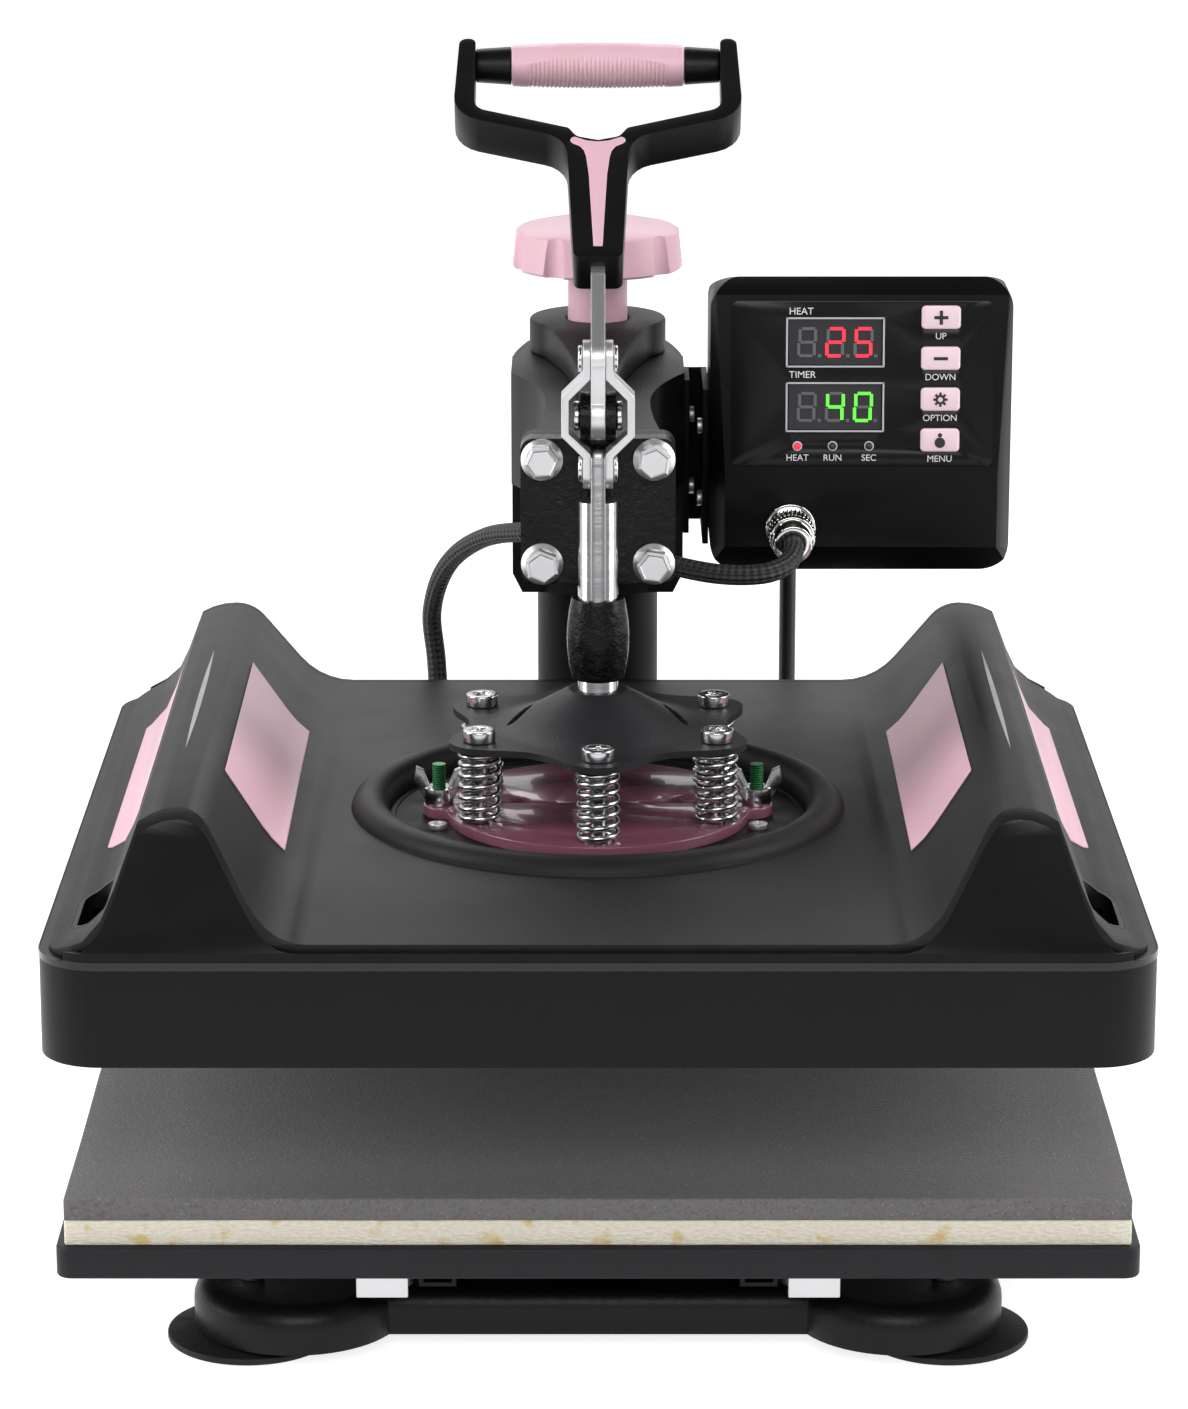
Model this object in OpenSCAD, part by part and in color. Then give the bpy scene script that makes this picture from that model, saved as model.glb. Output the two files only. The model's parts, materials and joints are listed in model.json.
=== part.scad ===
// Combo heat press: a bench press with a swing-away heated head, a toggle lever and a digital controller.
// Millimetres, +Z up, floor at Z = 0, front towards -Y, origin under the middle of the outline.

/* [Press bed] */
// Width of the silicone mat
mat_w = 380; // [350:1:400]
// Depth of the silicone mat
mat_d = 300; // [280:1:310]
// Thickness of the silicone mat
mat_t = 8.3; // [6:0.1:10]
// Thickness of the felt pad
felt_t = 9.5; // [7:0.1:12]
// Height of the folded rim of the tray
tray_h = 11.5; // [9:0.5:13]
// Sheet thickness of the tray
tray_t = 2; // [1.5:0.1:3]
// How far the tray reaches past the pads
tray_lip = 3; // [1:0.5:5]
// Plan corner radius of the tray
tray_corner = 6; // [4:0.5:9]

/* [Base] */
// Outer radius of a suction foot
foot_r = 30.5; // [28:0.1:32]
// Height of the base above the floor
foot_h = 5; // [5:0.5:7]
// Height of the base pressing
base_h = 17; // [15:0.5:20]
// Wall of the base pressing
base_wall = 3; // [2:0.5:4]
// Rounding along the top edge of the base pressing
base_round = 8; // [6:0.5:10]
// Radius of a lobe of the base
lobe_r = 38; // [36:0.5:40]
// Distance of the lobes from the middle
lobe_x = 109; // [104:1:112]
// Distance of the front lobes ahead of the ram
lobe_front = 113; // [110:1:116]
// Distance of the rear lobes behind the ram
lobe_rear = 163; // [160:1:168]
// Width of the cross bars of the base
bar_w = 36; // [34:0.5:40]
// Width of the spine of the base
spine_w = 76; // [72:1:77]
// Radius of the round end of the base under the post
hub_r = 40; // [39.5:0.5:42]
// Space between the base and the rim of the tray
bed_gap = 13; // [11:0.5:15]
// Distance of the tray rails from the middle
rail_x = 58; // [56:0.5:59]
// Width of a tray rail
rail_w = 14; // [12:0.5:14]

/* [Post and arm] */
// Distance from the ram back to the post
arm_reach = 212; // [210:1:216]
// Outer radius of the post
post_r = 25; // [24:0.5:25.5]
// Wall of the post tube
post_wall = 3; // [2.5:0.1:4]
// Radius of the flange of the post
flange_r = 38; // [36:0.5:39]
// Thickness of the flange of the post
flange_t = 6; // [5:0.5:8]
// Wall of the swing bush
bush_wall = 1.95; // [1.5:0.05:2.2]
// Half width of the arm at the post
housing_r = 35; // [33:0.5:36]
// Half width of the arm at its waist
waist_half = 20.5; // [19:0.5:23]
// Half width of the arm behind its front flange
neck_half = 28; // [26:0.5:28.5]
// Height of the neck of the arm
neck_h = 46; // [42:0.5:48]
// Radius of the round end of the arm cap
cap_r = 28; // [26:0.5:30]
// Height of the arm cap at the post
cap_h = 14; // [12:0.5:15]
// How far the pressure screw can lower the arm
lift_down = 12.5; // [10:0.5:12.5]
// Radius of the pressure knob
knob_r = 35; // [32:0.5:37]
// Height of the pressure knob
knob_h = 19; // [16:0.5:22]
// Radius of the lead screw
screw_r = 8; // [7:0.5:8.5]

/* [Toggle] */
// Height of the lever pivot above the cover
pivot_rise = 150; // [149:0.5:154]
// Throw of the crank in the lever
crank = 21.5; // [21:0.1:22]
// Length of the toggle links between their rivets
link_l = 41.8; // [41:0.1:42.5]
// Thickness of the lever plate
lever_t = 5.3; // [5:0.1:5.4]
// Thickness of a link strap
strap_t = 2.8; // [2.4:0.1:3.2]
// Width of a link strap
strap_w = 12; // [11:0.5:13]
// Radius of the lever pivot pin
pin_r = 4; // [3.5:0.1:4.5]
// Radius of the link rivets
rivet_r = 3; // [2.6:0.1:3.4]
// Radius of the ram rod
rod_r = 7.5; // [7:0.1:7.7]
// Width of the toggle body plate
plate_w = 58; // [57:0.5:60]
// Height of the toggle body plate
plate_h = 56; // [55:0.5:58]
// Thickness of the toggle body plate
plate_t = 8.9; // [8:0.1:10]

/* [Handle] */
// How far the open handle leans back from upright
handle_lean = 55; // [52:1:57]
// Distance from the crank rivet to the grip axis
grip_reach = 157.6; // [155:0.1:160]
// Depth of the handle frame
handle_t = 17; // [15:0.5:18]
// Half width between the arms of the handle
grip_half = 47.5; // [46:0.5:49]
// Width of a handle arm
arm_w = 8.3; // [7.5:0.1:10]
// Half length of the grip sleeve
sleeve_half = 33.5; // [30:0.5:36]
// Radius of the grip sleeve
sleeve_r = 8.8; // [8:0.1:9.5]

/* [Heated head] */
// Width of the head cover
cover_w = 390; // [388:1:394]
// Depth of the head cover
cover_d = 358; // [356:1:359]
// Distance from the ram to the front of the cover
cover_front = 175; // [173:1:177]
// Wall of the cover skirt
skirt_wall = 3.5; // [2.6:0.1:3.8]
// Thickness of the top sheet of the cover
sheet_t = 3; // [2.4:0.1:3.2]
// Height of the skirt of the cover
skirt_h = 37.7; // [36.5:0.1:39]
// Plan corner radius of the cover
cover_corner = 22; // [18:0.5:25]
// Height of the side humps over the trough
hump_h = 33; // [30:0.5:35]
// Distance from the side of the cover in to the flat trough
hump_w = 94; // [92:0.5:95]
// Depth of the sloping front of the humps
ramp_d = 60; // [55:1:65]
// Thickness of the heating platen
platen_t = 12; // [10:0.5:13]
// Radius of the crest of the ring rolled into the cover
ring_r = 86; // [85.5:0.1:86.5]
// Half width of the ring rolled into the cover
ring_half = 7.2; // [6.8:0.1:7.4]
// Height of the ring over the trough
ring_h = 6; // [5:0.1:6.5]
// Radius of the adapter plate
adapter_r = 58; // [56.5:0.5:58.5]
// Thickness of the adapter plate
adapter_t = 4; // [3:0.5:5]
// Distance of the springs from the ram axis
spring_ring = 51; // [49.5:0.5:51.5]
// Mean radius of a spring
spring_r = 7; // [6.5:0.1:7]
// Radius of the spring wire
wire_r = 1.1; // [0.9:0.05:1.2]
// Length of a spring between its seats
spring_l = 29; // [28:0.5:30]
// Turns in a spring
spring_turns = 6; // [5:1:6]
// Thickness of the spider plate
spider_t = 2.5; // [2:0.1:3]
// Height of the dome on the spider plate
dome_h = 13.5; // [12:0.1:14]

/* [Controller] */
// Width of the controller case
case_w = 120; // [118:1:124]
// Height of the controller case
case_h = 119; // [118:1:124]
// Depth of the controller case
case_d = 70; // [66:1:74]
// Wall of the controller case
case_wall = 3; // [2.5:0.1:3.4]
// Lean of the upper panel
panel_lean = 5.2; // [4:0.1:6]
// Width of a button
button_w = 15.5; // [14:0.5:17]
// Height of a button
button_h = 9.3; // [8:0.1:10]
// Travel of a button
button_travel = 1; // [0.8:0.1:1]
// Distance between buttons
button_pitch = 16.3; // [15.5:0.1:16.5]

/* [Leads] */
// Diameter of the mains lead
lead_d = 7; // [6.5:0.1:7.2]
// Diameter of the braided lead to the head
braid_d = 8; // [7.5:0.1:8.2]
// Radius of the outer turn of the put-away coil
coil_r = 50; // [50:0.5:52]
// Turns that the coil winds inwards
coil_in = 2.5; // [1.5:1:2.5]

/* [Hidden] */
$fn = 48;
// Clearances
run_gap = 0.05;
fit_gap = 0.15;
press_gap = 0.02;
seat_gap = 0.1;
close_gap = 0.5;
free_gap = 0.3;
cut = 1;

// Heights, from the floor up
base_top = foot_h + base_h;
tray_z = base_top + bed_gap;
tray_top = tray_z + tray_h;
bed_under = tray_top - tray_t;
felt_top = tray_top + felt_t;
mat_top = felt_top + mat_t;
stroke = 2 * crank;
platen_z = mat_top + stroke + lift_down + close_gap;
platen_top = platen_z + platen_t;
skirt_z = platen_z + 2;
skirt_top = skirt_z + skirt_h;
trough_z = skirt_top + 6;
sheet_z = trough_z - sheet_t;
adapter_top = trough_z + 0.5;
adapter_z = adapter_top - adapter_t;
spider_z = adapter_top + spring_l;
spider_top = spider_z + spider_t;
pivot_z = trough_z + pivot_rise;
crank_z = pivot_z + crank;
ram_pin_z = crank_z - link_l;
shoulder_z = ram_pin_z - 11.7;
arm_top = pivot_z - 17;
arm_foot = arm_top - 96;
roof_t = 8;
post_top = arm_top - 21;
bush_z = arm_foot + 6;
plate_z = pivot_z - 67;
guide_z = pivot_z - 100;
guide_h = 31;
knob_z = pivot_z + 18;
case_z = pivot_z - 93;

// Plan places, as distances from the ram
rear_reach = arm_reach + hub_r;
cover_back = cover_d - cover_front;
cover_mid = cover_d / 2 - cover_front;
ram_y = (cover_front - rear_reach) / 2;
post_y = ram_y + arm_reach;
foot_out = [17, 5];
plate_y = 11;
web_y = plate_y + plate_t + seat_gap;
web_t = 7;
tray_w = mat_w + 2 * tray_lip;
tray_d = mat_d + 2 * tray_lip;
bush_r = post_r + run_gap + bush_wall;
sleeve_in = bush_r + run_gap;
post_in = post_r - post_wall;
strap_in = lever_t / 2 + fit_gap;
strap_belly = 8;
stud_x = 60;
stud_r = 2.5;
bolt_x = 21;
bolt_rise = [8, 48];
case_gap = 10;
case_set = 82;
case_at = [housing_r + case_gap + case_w / 2, post_y - case_set, case_z];
fold_z = 41;
panel_h = case_h - fold_z - 6;
button_x = 31;
button_first = 14.6;
display_x = -10.8;
display_b = [27.7, 53.5];
display_size = [36.7, 18];
lamp_x = [-25.6, -11.6, 2.9];
lamp_b = 12.2;
plug_at = [32 - case_w / 2, 20];
gland_at = [36 - case_w / 2, 22];
gland_l = 22;
head_gland = [-66, skirt_z + 25.7];
lead_r = lead_d / 2;
coil_pitch = lead_d + 0.6;
coil_at = [31, arm_reach + 94];

// Route of the mains lead, from the gland at the back of the case to the coil, with Y from the post
mains_line = [[81, -8, 245], [81, 2, 245], [81, 12, 245], [81, 23, 241.5], [81, 31.5, 234], [81, 37, 224],
    [81, 39, 212], [81, 39, 190], [81, 39, 160], [81, 39, 130], [81, 39, 100], [81, 39, 70], [81, 39.5, 45],
    [81, 42, 28], [81, 48, 15], [81, 58, 7], [81, 70, 3.6], [81, 82, 3.6], [81, 94, 3.6]];
mains_route = [for (p = mains_line) p + [0, arm_reach, 0]];
// Route of the braided lead: out of the back of the head, with Y from the back of the cover, up under the
// arm, with Y from the ram, then on to the plug of the controller, with Y from the post
braid_out = [[-66, 1, 148], [-66, 10, 148], [-66.5, 18, 153], [-67.5, 23, 168], [-69, 20, 190]];
braid_arm = [[-62, 190, 213], [-47, 166, 230], [-28, 135, 240], [-10, 112, 244]];
braid_case = [[8, -115, 242], [30, -128, 238.5], [48, -136, 237], [64, -137.5, 237.5], [73, -132, 239.5],
    [76.5, -123, 242.2], [77, -114, 243], [77, -100, 243]];
braid_route = concat([for (p = braid_out) p + [0, cover_back, 0]], braid_arm,
    [for (p = braid_case) p + [0, arm_reach, 0]]);

// Shared shapes

module at_ram() { translate([0, ram_y, 0]) children(); }
module at_post() { translate([0, post_y, 0]) children(); }
module at_cover() { translate([0, ram_y + cover_mid, 0]) children(); }

// A profile drawn as Y and Z, extruded along X about the middle
module across(w) { rotate([90, 0, 90]) linear_extrude(w, center = true) children(); }

// A profile drawn as X and Z, extruded along Y about the middle
module along(d) { rotate([90, 0, 0]) linear_extrude(d, center = true) children(); }

module rounded(w, d, r) {
    square([w - 2 * r, d], center = true);
    square([w, d - 2 * r], center = true);
    for (x = [-1, 1], y = [-1, 1]) translate([x * (w / 2 - r), y * (d / 2 - r)]) circle(r);
}

module slab(w, d, h, r) { linear_extrude(h) rounded(w, d, r); }

module tube(r_out, r_in, h) {
    difference() {
        cylinder(r = r_out, h = h);
        translate([0, 0, -cut]) cylinder(r = r_in, h = h + 2 * cut);
    }
}

module mirrored() {
    children();
    mirror([1, 0, 0]) children();
}

module ring_of(n, r) { for (i = [0:n - 1]) rotate(360 * i / n - 90) translate([r, 0, 0]) children(); }

// A flat bar with round ends from p to q
module bar(p, q, w) {
    translate(p) rotate(atan2(q.y - p.y, q.x - p.x)) translate([0, -w / 2]) square([norm(q - p), w]);
    for (c = [p, q]) translate(c) circle(w / 2);
}

module cross_recess(r, depth) {
    for (a = [0, 90]) rotate(a) translate([-r, -r / 5, -depth]) cube([2 * r, 2 * r / 5, depth + cut]);
}

// A pan head screw whose head sits on Z = 0
module pan_screw(head_r, head_h, shank_r, shank_l) {
    difference() {
        cylinder(r = head_r, h = head_h);
        translate([0, 0, head_h]) cross_recess(head_r * 0.55, head_h * 0.45);
    }
    translate([0, 0, -shank_l]) cylinder(r = shank_r, h = shank_l);
}

module hex_bolt(flange_r, flange_t, hex_r, hex_h, shank_r, shank_l) {
    cylinder(r = flange_r, h = flange_t);
    cylinder(r = hex_r, h = flange_t + hex_h, $fn = 6);
    translate([0, 0, -shank_l]) cylinder(r = shank_r, h = shank_l);
}

// Corner p of an outline between a and b, rounded to radius r
function round_corner(a, p, b, r) = let (u = unit(a - p), v = unit(b - p), half = acos(u * v) / 2,
    middle = p + unit(u + v) * r / sin(half), from = p + u * r / tan(half) - middle,
    side = u.x * v.y - u.y * v.x > 0 ? -1 : 1, first = atan2(from.y, from.x), sweep = side * (180 - 2 * half))
    [for (i = [0:corner_steps]) let (a = first + sweep * i / corner_steps) middle + r * [cos(a), sin(a)]];
corner_steps = 5;

// A tube of n sides swept along a path without twist

function unit(v) = v / norm(v);
function headings(p) = [for (i = [0:len(p) - 1]) unit(p[min(i + 1, len(p) - 1)] - p[max(i - 1, 0)])];
function carry(u, t) = unit(u - (u * t) * t);
function first_side(t) = carry(abs(t.z) < 0.9 ? [0, 0, 1] : [1, 0, 0], t);
function sides(t, i = 0, done = []) = i == len(t) ? done
    : sides(t, i + 1, concat(done, [i == 0 ? first_side(t[0]) : carry(done[i - 1], t[i])]));
function ring(c, t, u, r, n) = [for (k = [0:n - 1]) c + r * (cos(360 * k / n) * u
    + sin(360 * k / n) * cross(t, u))];

module swept(path, r, n) {
    t = headings(path);
    u = sides(t);
    last = (len(path) - 1) * n;
    points = [for (i = [0:len(path) - 1]) each ring(path[i], t[i], u[i], r, n)];
    walls = [for (i = [0:len(path) - 2], k = [0:n - 1]) let (a = i * n + k, b = i * n + (k + 1) % n)
        each [[a, a + n, b + n], [a, b + n, b]]];
    ends = [for (k = [1:n - 2]) each [[0, k, k + 1], [last, last + k + 1, last + k]]];
    polyhedron(points, concat(walls, ends));
}

// Least space between parts of a tube that are at least skip points apart along it
function self_gap(path, d, skip) = min([for (i = [0:len(path) - 1 - skip], j = [i + skip:len(path) - 1])
    norm(path[i] - path[j])]) - d;

// Base

module lobe_profile(r, h, f) {
    square([r - f, h]);
    square([r, h - f]);
    translate([r - f, h - f]) circle(f);
}

module beam_profile(d, h, f) {
    translate([-d / 2, 0]) square([d, h - f]);
    translate([f - d / 2, 0]) square([d - 2 * f, h]);
    for (s = [-1, 1]) translate([s * (d / 2 - f), h - f]) circle(f);
}

// The pressed base, drawn in by an inset on every side
module base_form(inset) {
    h = base_h - inset;
    f = base_round - inset;
    at_ram() {
        for (y = [-lobe_front, lobe_rear]) {
            for (s = [-1, 1]) translate([s * lobe_x, y, 0])
                rotate_extrude() lobe_profile(lobe_r - inset, h, f);
            translate([0, y, 0]) across(2 * lobe_x) beam_profile(bar_w - 2 * inset, h, f);
        }
        translate([0, (arm_reach - lobe_front) / 2, 0])
            along(arm_reach + lobe_front) beam_profile(spine_w - 2 * inset, h, f);
        translate([0, arm_reach, 0]) rotate_extrude() lobe_profile(hub_r - inset, h, f);
    }
}

module at_feet() {
    at_ram() for (s = [-1, 1], y = [-lobe_front - foot_out.y, lobe_rear + foot_out.y])
        translate([s * (lobe_x + foot_out.x), y, 0]) children();
}

foot_screw_r = 2.5;

module base_frame() {
    color("#2b2b2d") difference() {
        translate([0, 0, foot_h]) base_form(0);
        translate([0, 0, foot_h - 0.01]) base_form(base_wall);
        at_feet() cylinder(r = foot_screw_r + fit_gap, h = base_top + cut);
        at_tray_bolts() cylinder(r = tray_bolt_r + fit_gap, h = base_top + cut);
        at_post() at_flange_bolts() cylinder(r = flange_bolt_r + fit_gap, h = base_top + cut);
    }
}

foot_rim = 2.5;

module suction_feet() {
    color("#1c1c1c") at_feet() difference() {
        union() {
            cylinder(r = foot_r, h = foot_rim);
            translate([0, 0, foot_rim]) cylinder(r1 = foot_r, r2 = 14, h = foot_h - foot_rim - 0.3);
            cylinder(r = 10, h = base_top - base_wall);
        }
        translate([0, 0, -0.01]) cylinder(r1 = foot_r - 4.5, r2 = 4, h = foot_rim);
        cylinder(r = foot_screw_r + press_gap, h = base_top);
    }
}

tray_bolt_r = 2.2;
flange_bolt_r = 3;
flange_bolt_ring = 31;

tray_bolt_at = [rail_x + rail_w / 2 + 6, lobe_front + 11];
tray_nut_r = 4.4;
tray_nut_h = 3.6;

module at_tray_bolts() {
    at_ram() for (s = [-1, 1]) translate([s * tray_bolt_at.x, -tray_bolt_at.y, 0]) children();
}

module at_flange_bolts() { for (a = [45:90:315]) rotate(a) translate([flange_bolt_ring, 0, 0]) children(); }

module base_fasteners() {
    color("#b8b9bb") {
        at_feet() translate([0, 0, base_top]) pan_screw(4.6, 3, foot_screw_r, base_h - 4);
        at_tray_bolts() {
            translate([0, 0, base_top - base_wall])
                cylinder(r = tray_bolt_r, h = bed_under - base_top + base_wall);
            for (z = [base_top, bed_under - tray_nut_h])
                translate([0, 0, z]) cylinder(r = tray_nut_r, h = tray_nut_h, $fn = 6);
        }
        at_post() at_flange_bolts() translate([0, 0, base_top + flange_t])
            hex_bolt(5.8, 1.2, 5, 3.3, flange_bolt_r, flange_t + base_wall);
    }
}

module post() {
    color("#3a3b3d") at_post() difference() {
        union() {
            translate([0, 0, base_top]) cylinder(r = flange_r, h = flange_t);
            translate([0, 0, base_top]) cylinder(r = post_r, h = post_top - base_top);
            translate([0, 0, arm_foot]) cylinder(r = bush_r - 0.3, h = bush_z - arm_foot - run_gap);
        }
        translate([0, 0, base_top + flange_t]) cylinder(r = post_in, h = post_top);
        at_flange_bolts() cylinder(r = flange_bolt_r + fit_gap, h = post_top / 2);
    }
}

nut_h = 19;

module post_nut() {
    color("#c8a24a") at_post() translate([0, 0, post_top - nut_h])
        tube(post_in - press_gap, screw_r + run_gap, nut_h);
}

rail_front = lobe_front + 15;
rail_rear = tray_d / 2 - tray_t - 1;
rail_wall = 2;

module tray_rails() {
    rail_h = bed_under - base_top;
    rail_l = rail_front + rail_rear;
    color("#2e2e30") at_ram() mirrored() translate([rail_x, -rail_front, base_top]) difference() {
        translate([-rail_w / 2, 0, 0]) cube([rail_w, rail_l, rail_h]);
        translate([rail_wall - rail_w / 2, -cut, rail_wall])
            cube([rail_w - 2 * rail_wall, rail_l + 2 * cut, rail_h - 2 * rail_wall]);
    }
}

module platen_tray() {
    color("#333436") at_ram() difference() {
        translate([0, 0, tray_z]) slab(tray_w, tray_d, tray_h, tray_corner);
        translate([0, 0, tray_z - cut])
            slab(tray_w - 2 * tray_t, tray_d - 2 * tray_t, tray_h - tray_t + cut, tray_corner - tray_t);
    }
}

pad_corner = 4;

module felt_pad() {
    color("#e6dcc0") at_ram() translate([0, 0, tray_top]) slab(mat_w, mat_d, felt_t, pad_corner);
}

module silicone_mat() {
    color("#7d7a7a") at_ram() translate([0, 0, felt_top]) slab(mat_w, mat_d, mat_t, pad_corner);
}

clip_x = 77;
clip_w = 18.5;
clip_t = 1.5;
clip_d = 11.5;
clip_low = base_top + 5;

module tray_clips() {
    clip_y = tray_d / 2 - tray_t - close_gap;
    color("#c9cacc") at_ram() mirrored() translate([clip_x - clip_w / 2, -clip_y, 0]) {
        translate([0, 0, clip_low]) cube([clip_w, clip_t, bed_under - clip_low]);
        translate([0, 0, bed_under - clip_t]) cube([clip_w, clip_d, clip_t]);
        translate([0, 0, clip_low]) cube([clip_w, clip_d / 2, clip_t]);
    }
}

// Mains lead

// The coil spirals in on the floor, climbs a layer in the half turn where it reverses, and spirals out
function coil_radius(s) = coil_r - coil_pitch * coil_in + coil_pitch * abs(s - coil_in);
function smooth(t) = t * t * (3 - 2 * t);
function coil_climb(s) = smooth(min(max(2 * (s - coil_in) + 0.5, 0), 1));
function coil_point(s) = [coil_at.x + coil_radius(s) * cos(360 * s),
    coil_at.y + coil_radius(s) * sin(360 * s), lead_r + seat_gap + coil_pitch * coil_climb(s)];
coil_steps = 24;
coil_turns = 2 * coil_in + 0.25;
coil_end = coil_point(coil_turns);
coil_tail = 42;
coil_route = concat([for (i = [0:coil_steps * coil_turns]) coil_point(i / coil_steps)],
    [coil_end - [coil_tail / 2, 0, 0], coil_end - [coil_tail, 0, 0]]);
plug_neck = 14;
plug_l = 40;
plug_w = 25;
plug_corner = 6;
blade = [6.3, 1.5, 18];
blade_x = 6.35;
earth_pin_r = 2.4;

module mains_cord() { color("#1d1d1e") at_ram() swept(mains_route, lead_r, 10); }

module mains_coil() {
    echo(coil_gap = self_gap(coil_route, lead_d, 6));
    color("#1d1d1e") at_ram() swept(coil_route, lead_r, 6);
}

module mains_plug() {
    color("#202022") at_ram() translate(coil_end - [coil_tail, 0, 0]) rotate([0, -90, 0]) {
        cylinder(r1 = lead_r + 1.2, r2 = plug_corner + 2, h = plug_neck);
        translate([0, 0, plug_neck])
            linear_extrude(plug_l - plug_neck) rounded(2 * (coil_end.z - seat_gap), plug_w, plug_corner);
        for (s = [-1, 1]) translate([-1, s * blade_x - blade.y / 2, plug_l]) cube(blade);
        translate([-5.6, 0, plug_l]) cylinder(r = earth_pin_r, h = blade.z + 2);
    }
}

// Post bush, arm and cap

module swing_bush() {
    color("#d8c9a0") at_post() translate([0, 0, bush_z])
        tube(bush_r, post_r + run_gap, post_top - 1 - bush_z);
}

waist_y = 107;
neck_front = web_y + web_t - cut;
neck_rear = 165;
neck_end = arm_reach - 12;
// Half width of the neck of the arm along its length
function neck_width(y) = y < waist_y
    ? waist_half + (neck_half - waist_half) * pow((waist_y - y) / (waist_y - neck_front), 2)
    : waist_half + (housing_r - waist_half) * pow((y - waist_y) / (neck_rear - waist_y), 2);
neck_steps = 16;
neck_ys = [for (i = [0:neck_steps]) neck_front + i * (neck_rear - neck_front) / neck_steps];
neck_wall = 5;

// Plan outline that is mirrored about X = 0, from half widths along Y
module mirrored_plan(ys, halves) {
    right = [for (i = [0:len(ys) - 1]) [halves[i], ys[i]]];
    left = [for (i = [len(ys) - 1:-1:0]) [-halves[i], ys[i]]];
    polygon(concat(right, left));
}

module neck_plan(inset) {
    mirrored_plan(neck_ys, [for (y = neck_ys) neck_width(y) - inset]);
    translate([inset - housing_r, neck_rear]) square([2 * (housing_r - inset), neck_end - neck_rear]);
}

housing_d = 28;

module housing_plan() {
    translate([0, arm_reach]) circle(housing_r);
    translate([-housing_r, arm_reach - housing_d]) square([2 * housing_r, housing_d]);
}

foot_bevel = [4, 8];
top_bevel = [6, 3];

// Front view of the right half of the housing, with its bevels
module housing_front() {
    polygon([[0, arm_foot], [housing_r - foot_bevel.x, arm_foot], [housing_r, arm_foot + foot_bevel.y],
        [housing_r, arm_top - top_bevel.y], [housing_r - top_bevel.x, arm_top], [0, arm_top]]);
}

module swing_arm() {
    color("#303032") difference() {
        at_ram() union() {
            intersection() {
                translate([0, 0, arm_foot]) linear_extrude(arm_top - arm_foot) housing_plan();
                translate([0, arm_reach, 0]) along(3 * housing_r) mirrored() housing_front();
            }
            difference() {
                translate([0, 0, arm_top - neck_h]) linear_extrude(neck_h) neck_plan(0);
                translate([0, 0, arm_top - neck_h - cut])
                    linear_extrude(neck_h - neck_wall + cut) neck_plan(neck_wall);
            }
            translate([0, web_y + web_t / 2, plate_z + plate_h / 2])
                along(web_t) rounded(plate_w, plate_h, plate_corner);
        }
        at_post() translate([0, 0, arm_foot - cut])
            cylinder(r = sleeve_in, h = arm_top - roof_t - arm_foot + cut);
        at_post() cylinder(r = screw_r + free_gap, h = arm_top + cut);
        at_flange_holes() cylinder(r = flange_hole_r, h = flange_hole_l, center = true);
        at_bracket_bolts() cylinder(r = bracket_bolt_r + fit_gap, h = 2 * bracket_bolt_l, center = true);
    }
}

nose_y = 90;
nose_end = 40;
nose_half = 7;
nose_h = [2.5, 4.5];
nose_root = arm_reach - cap_r * 0.55;
// Half width of the nose of the arm cap along its length
function nose_width(y) = y < nose_y ? nose_half
    : nose_half + (cap_r * 0.8 - nose_half) * pow((y - nose_y) / (nose_root - nose_y), 2);
nose_ys = concat([nose_end], [for (i = [0:10]) nose_y + i * (nose_root - nose_y) / 10]);
cap_wall = 3;

module arm_hood() {
    color("#2a2a2c") at_ram() translate([0, 0, arm_top]) difference() {
        union() {
            translate([0, arm_reach, 0]) cylinder(r = cap_r, h = cap_h);
            intersection() {
                linear_extrude(cap_h) mirrored_plan(nose_ys, [for (y = nose_ys) nose_width(y)]);
                across(2 * cap_r) polygon([[nose_end, 0], [nose_end, nose_h[0]], [nose_y, nose_h[1]],
                    [arm_reach - cap_r - 2, cap_h], [arm_reach, cap_h], [arm_reach, 0]]);
            }
        }
        translate([0, arm_reach, -cut]) cylinder(r = cap_r - cap_wall, h = cap_h - cap_wall + cut);
        translate([0, arm_reach, 0]) cylinder(r = knob_stem_r + 0.75, h = cap_h + cut);
    }
}

flange_hole_r = 4 + fit_gap;
flange_hole_l = 2 * (plate_t + web_t + cut);
plate_corner = 5;
ear_r = 9;
ear_t = 3.8;
ear_foot = plate_z + plate_h - pivot_z - 7;
guide_swell = 4.2;
guide_curve = 64;

module at_flange_holes() {
    at_ram() for (s = [-1, 1], z = bolt_rise)
        translate([s * bolt_x, plate_y, plate_z + z]) rotate([90, 0, 0]) children();
}

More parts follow.
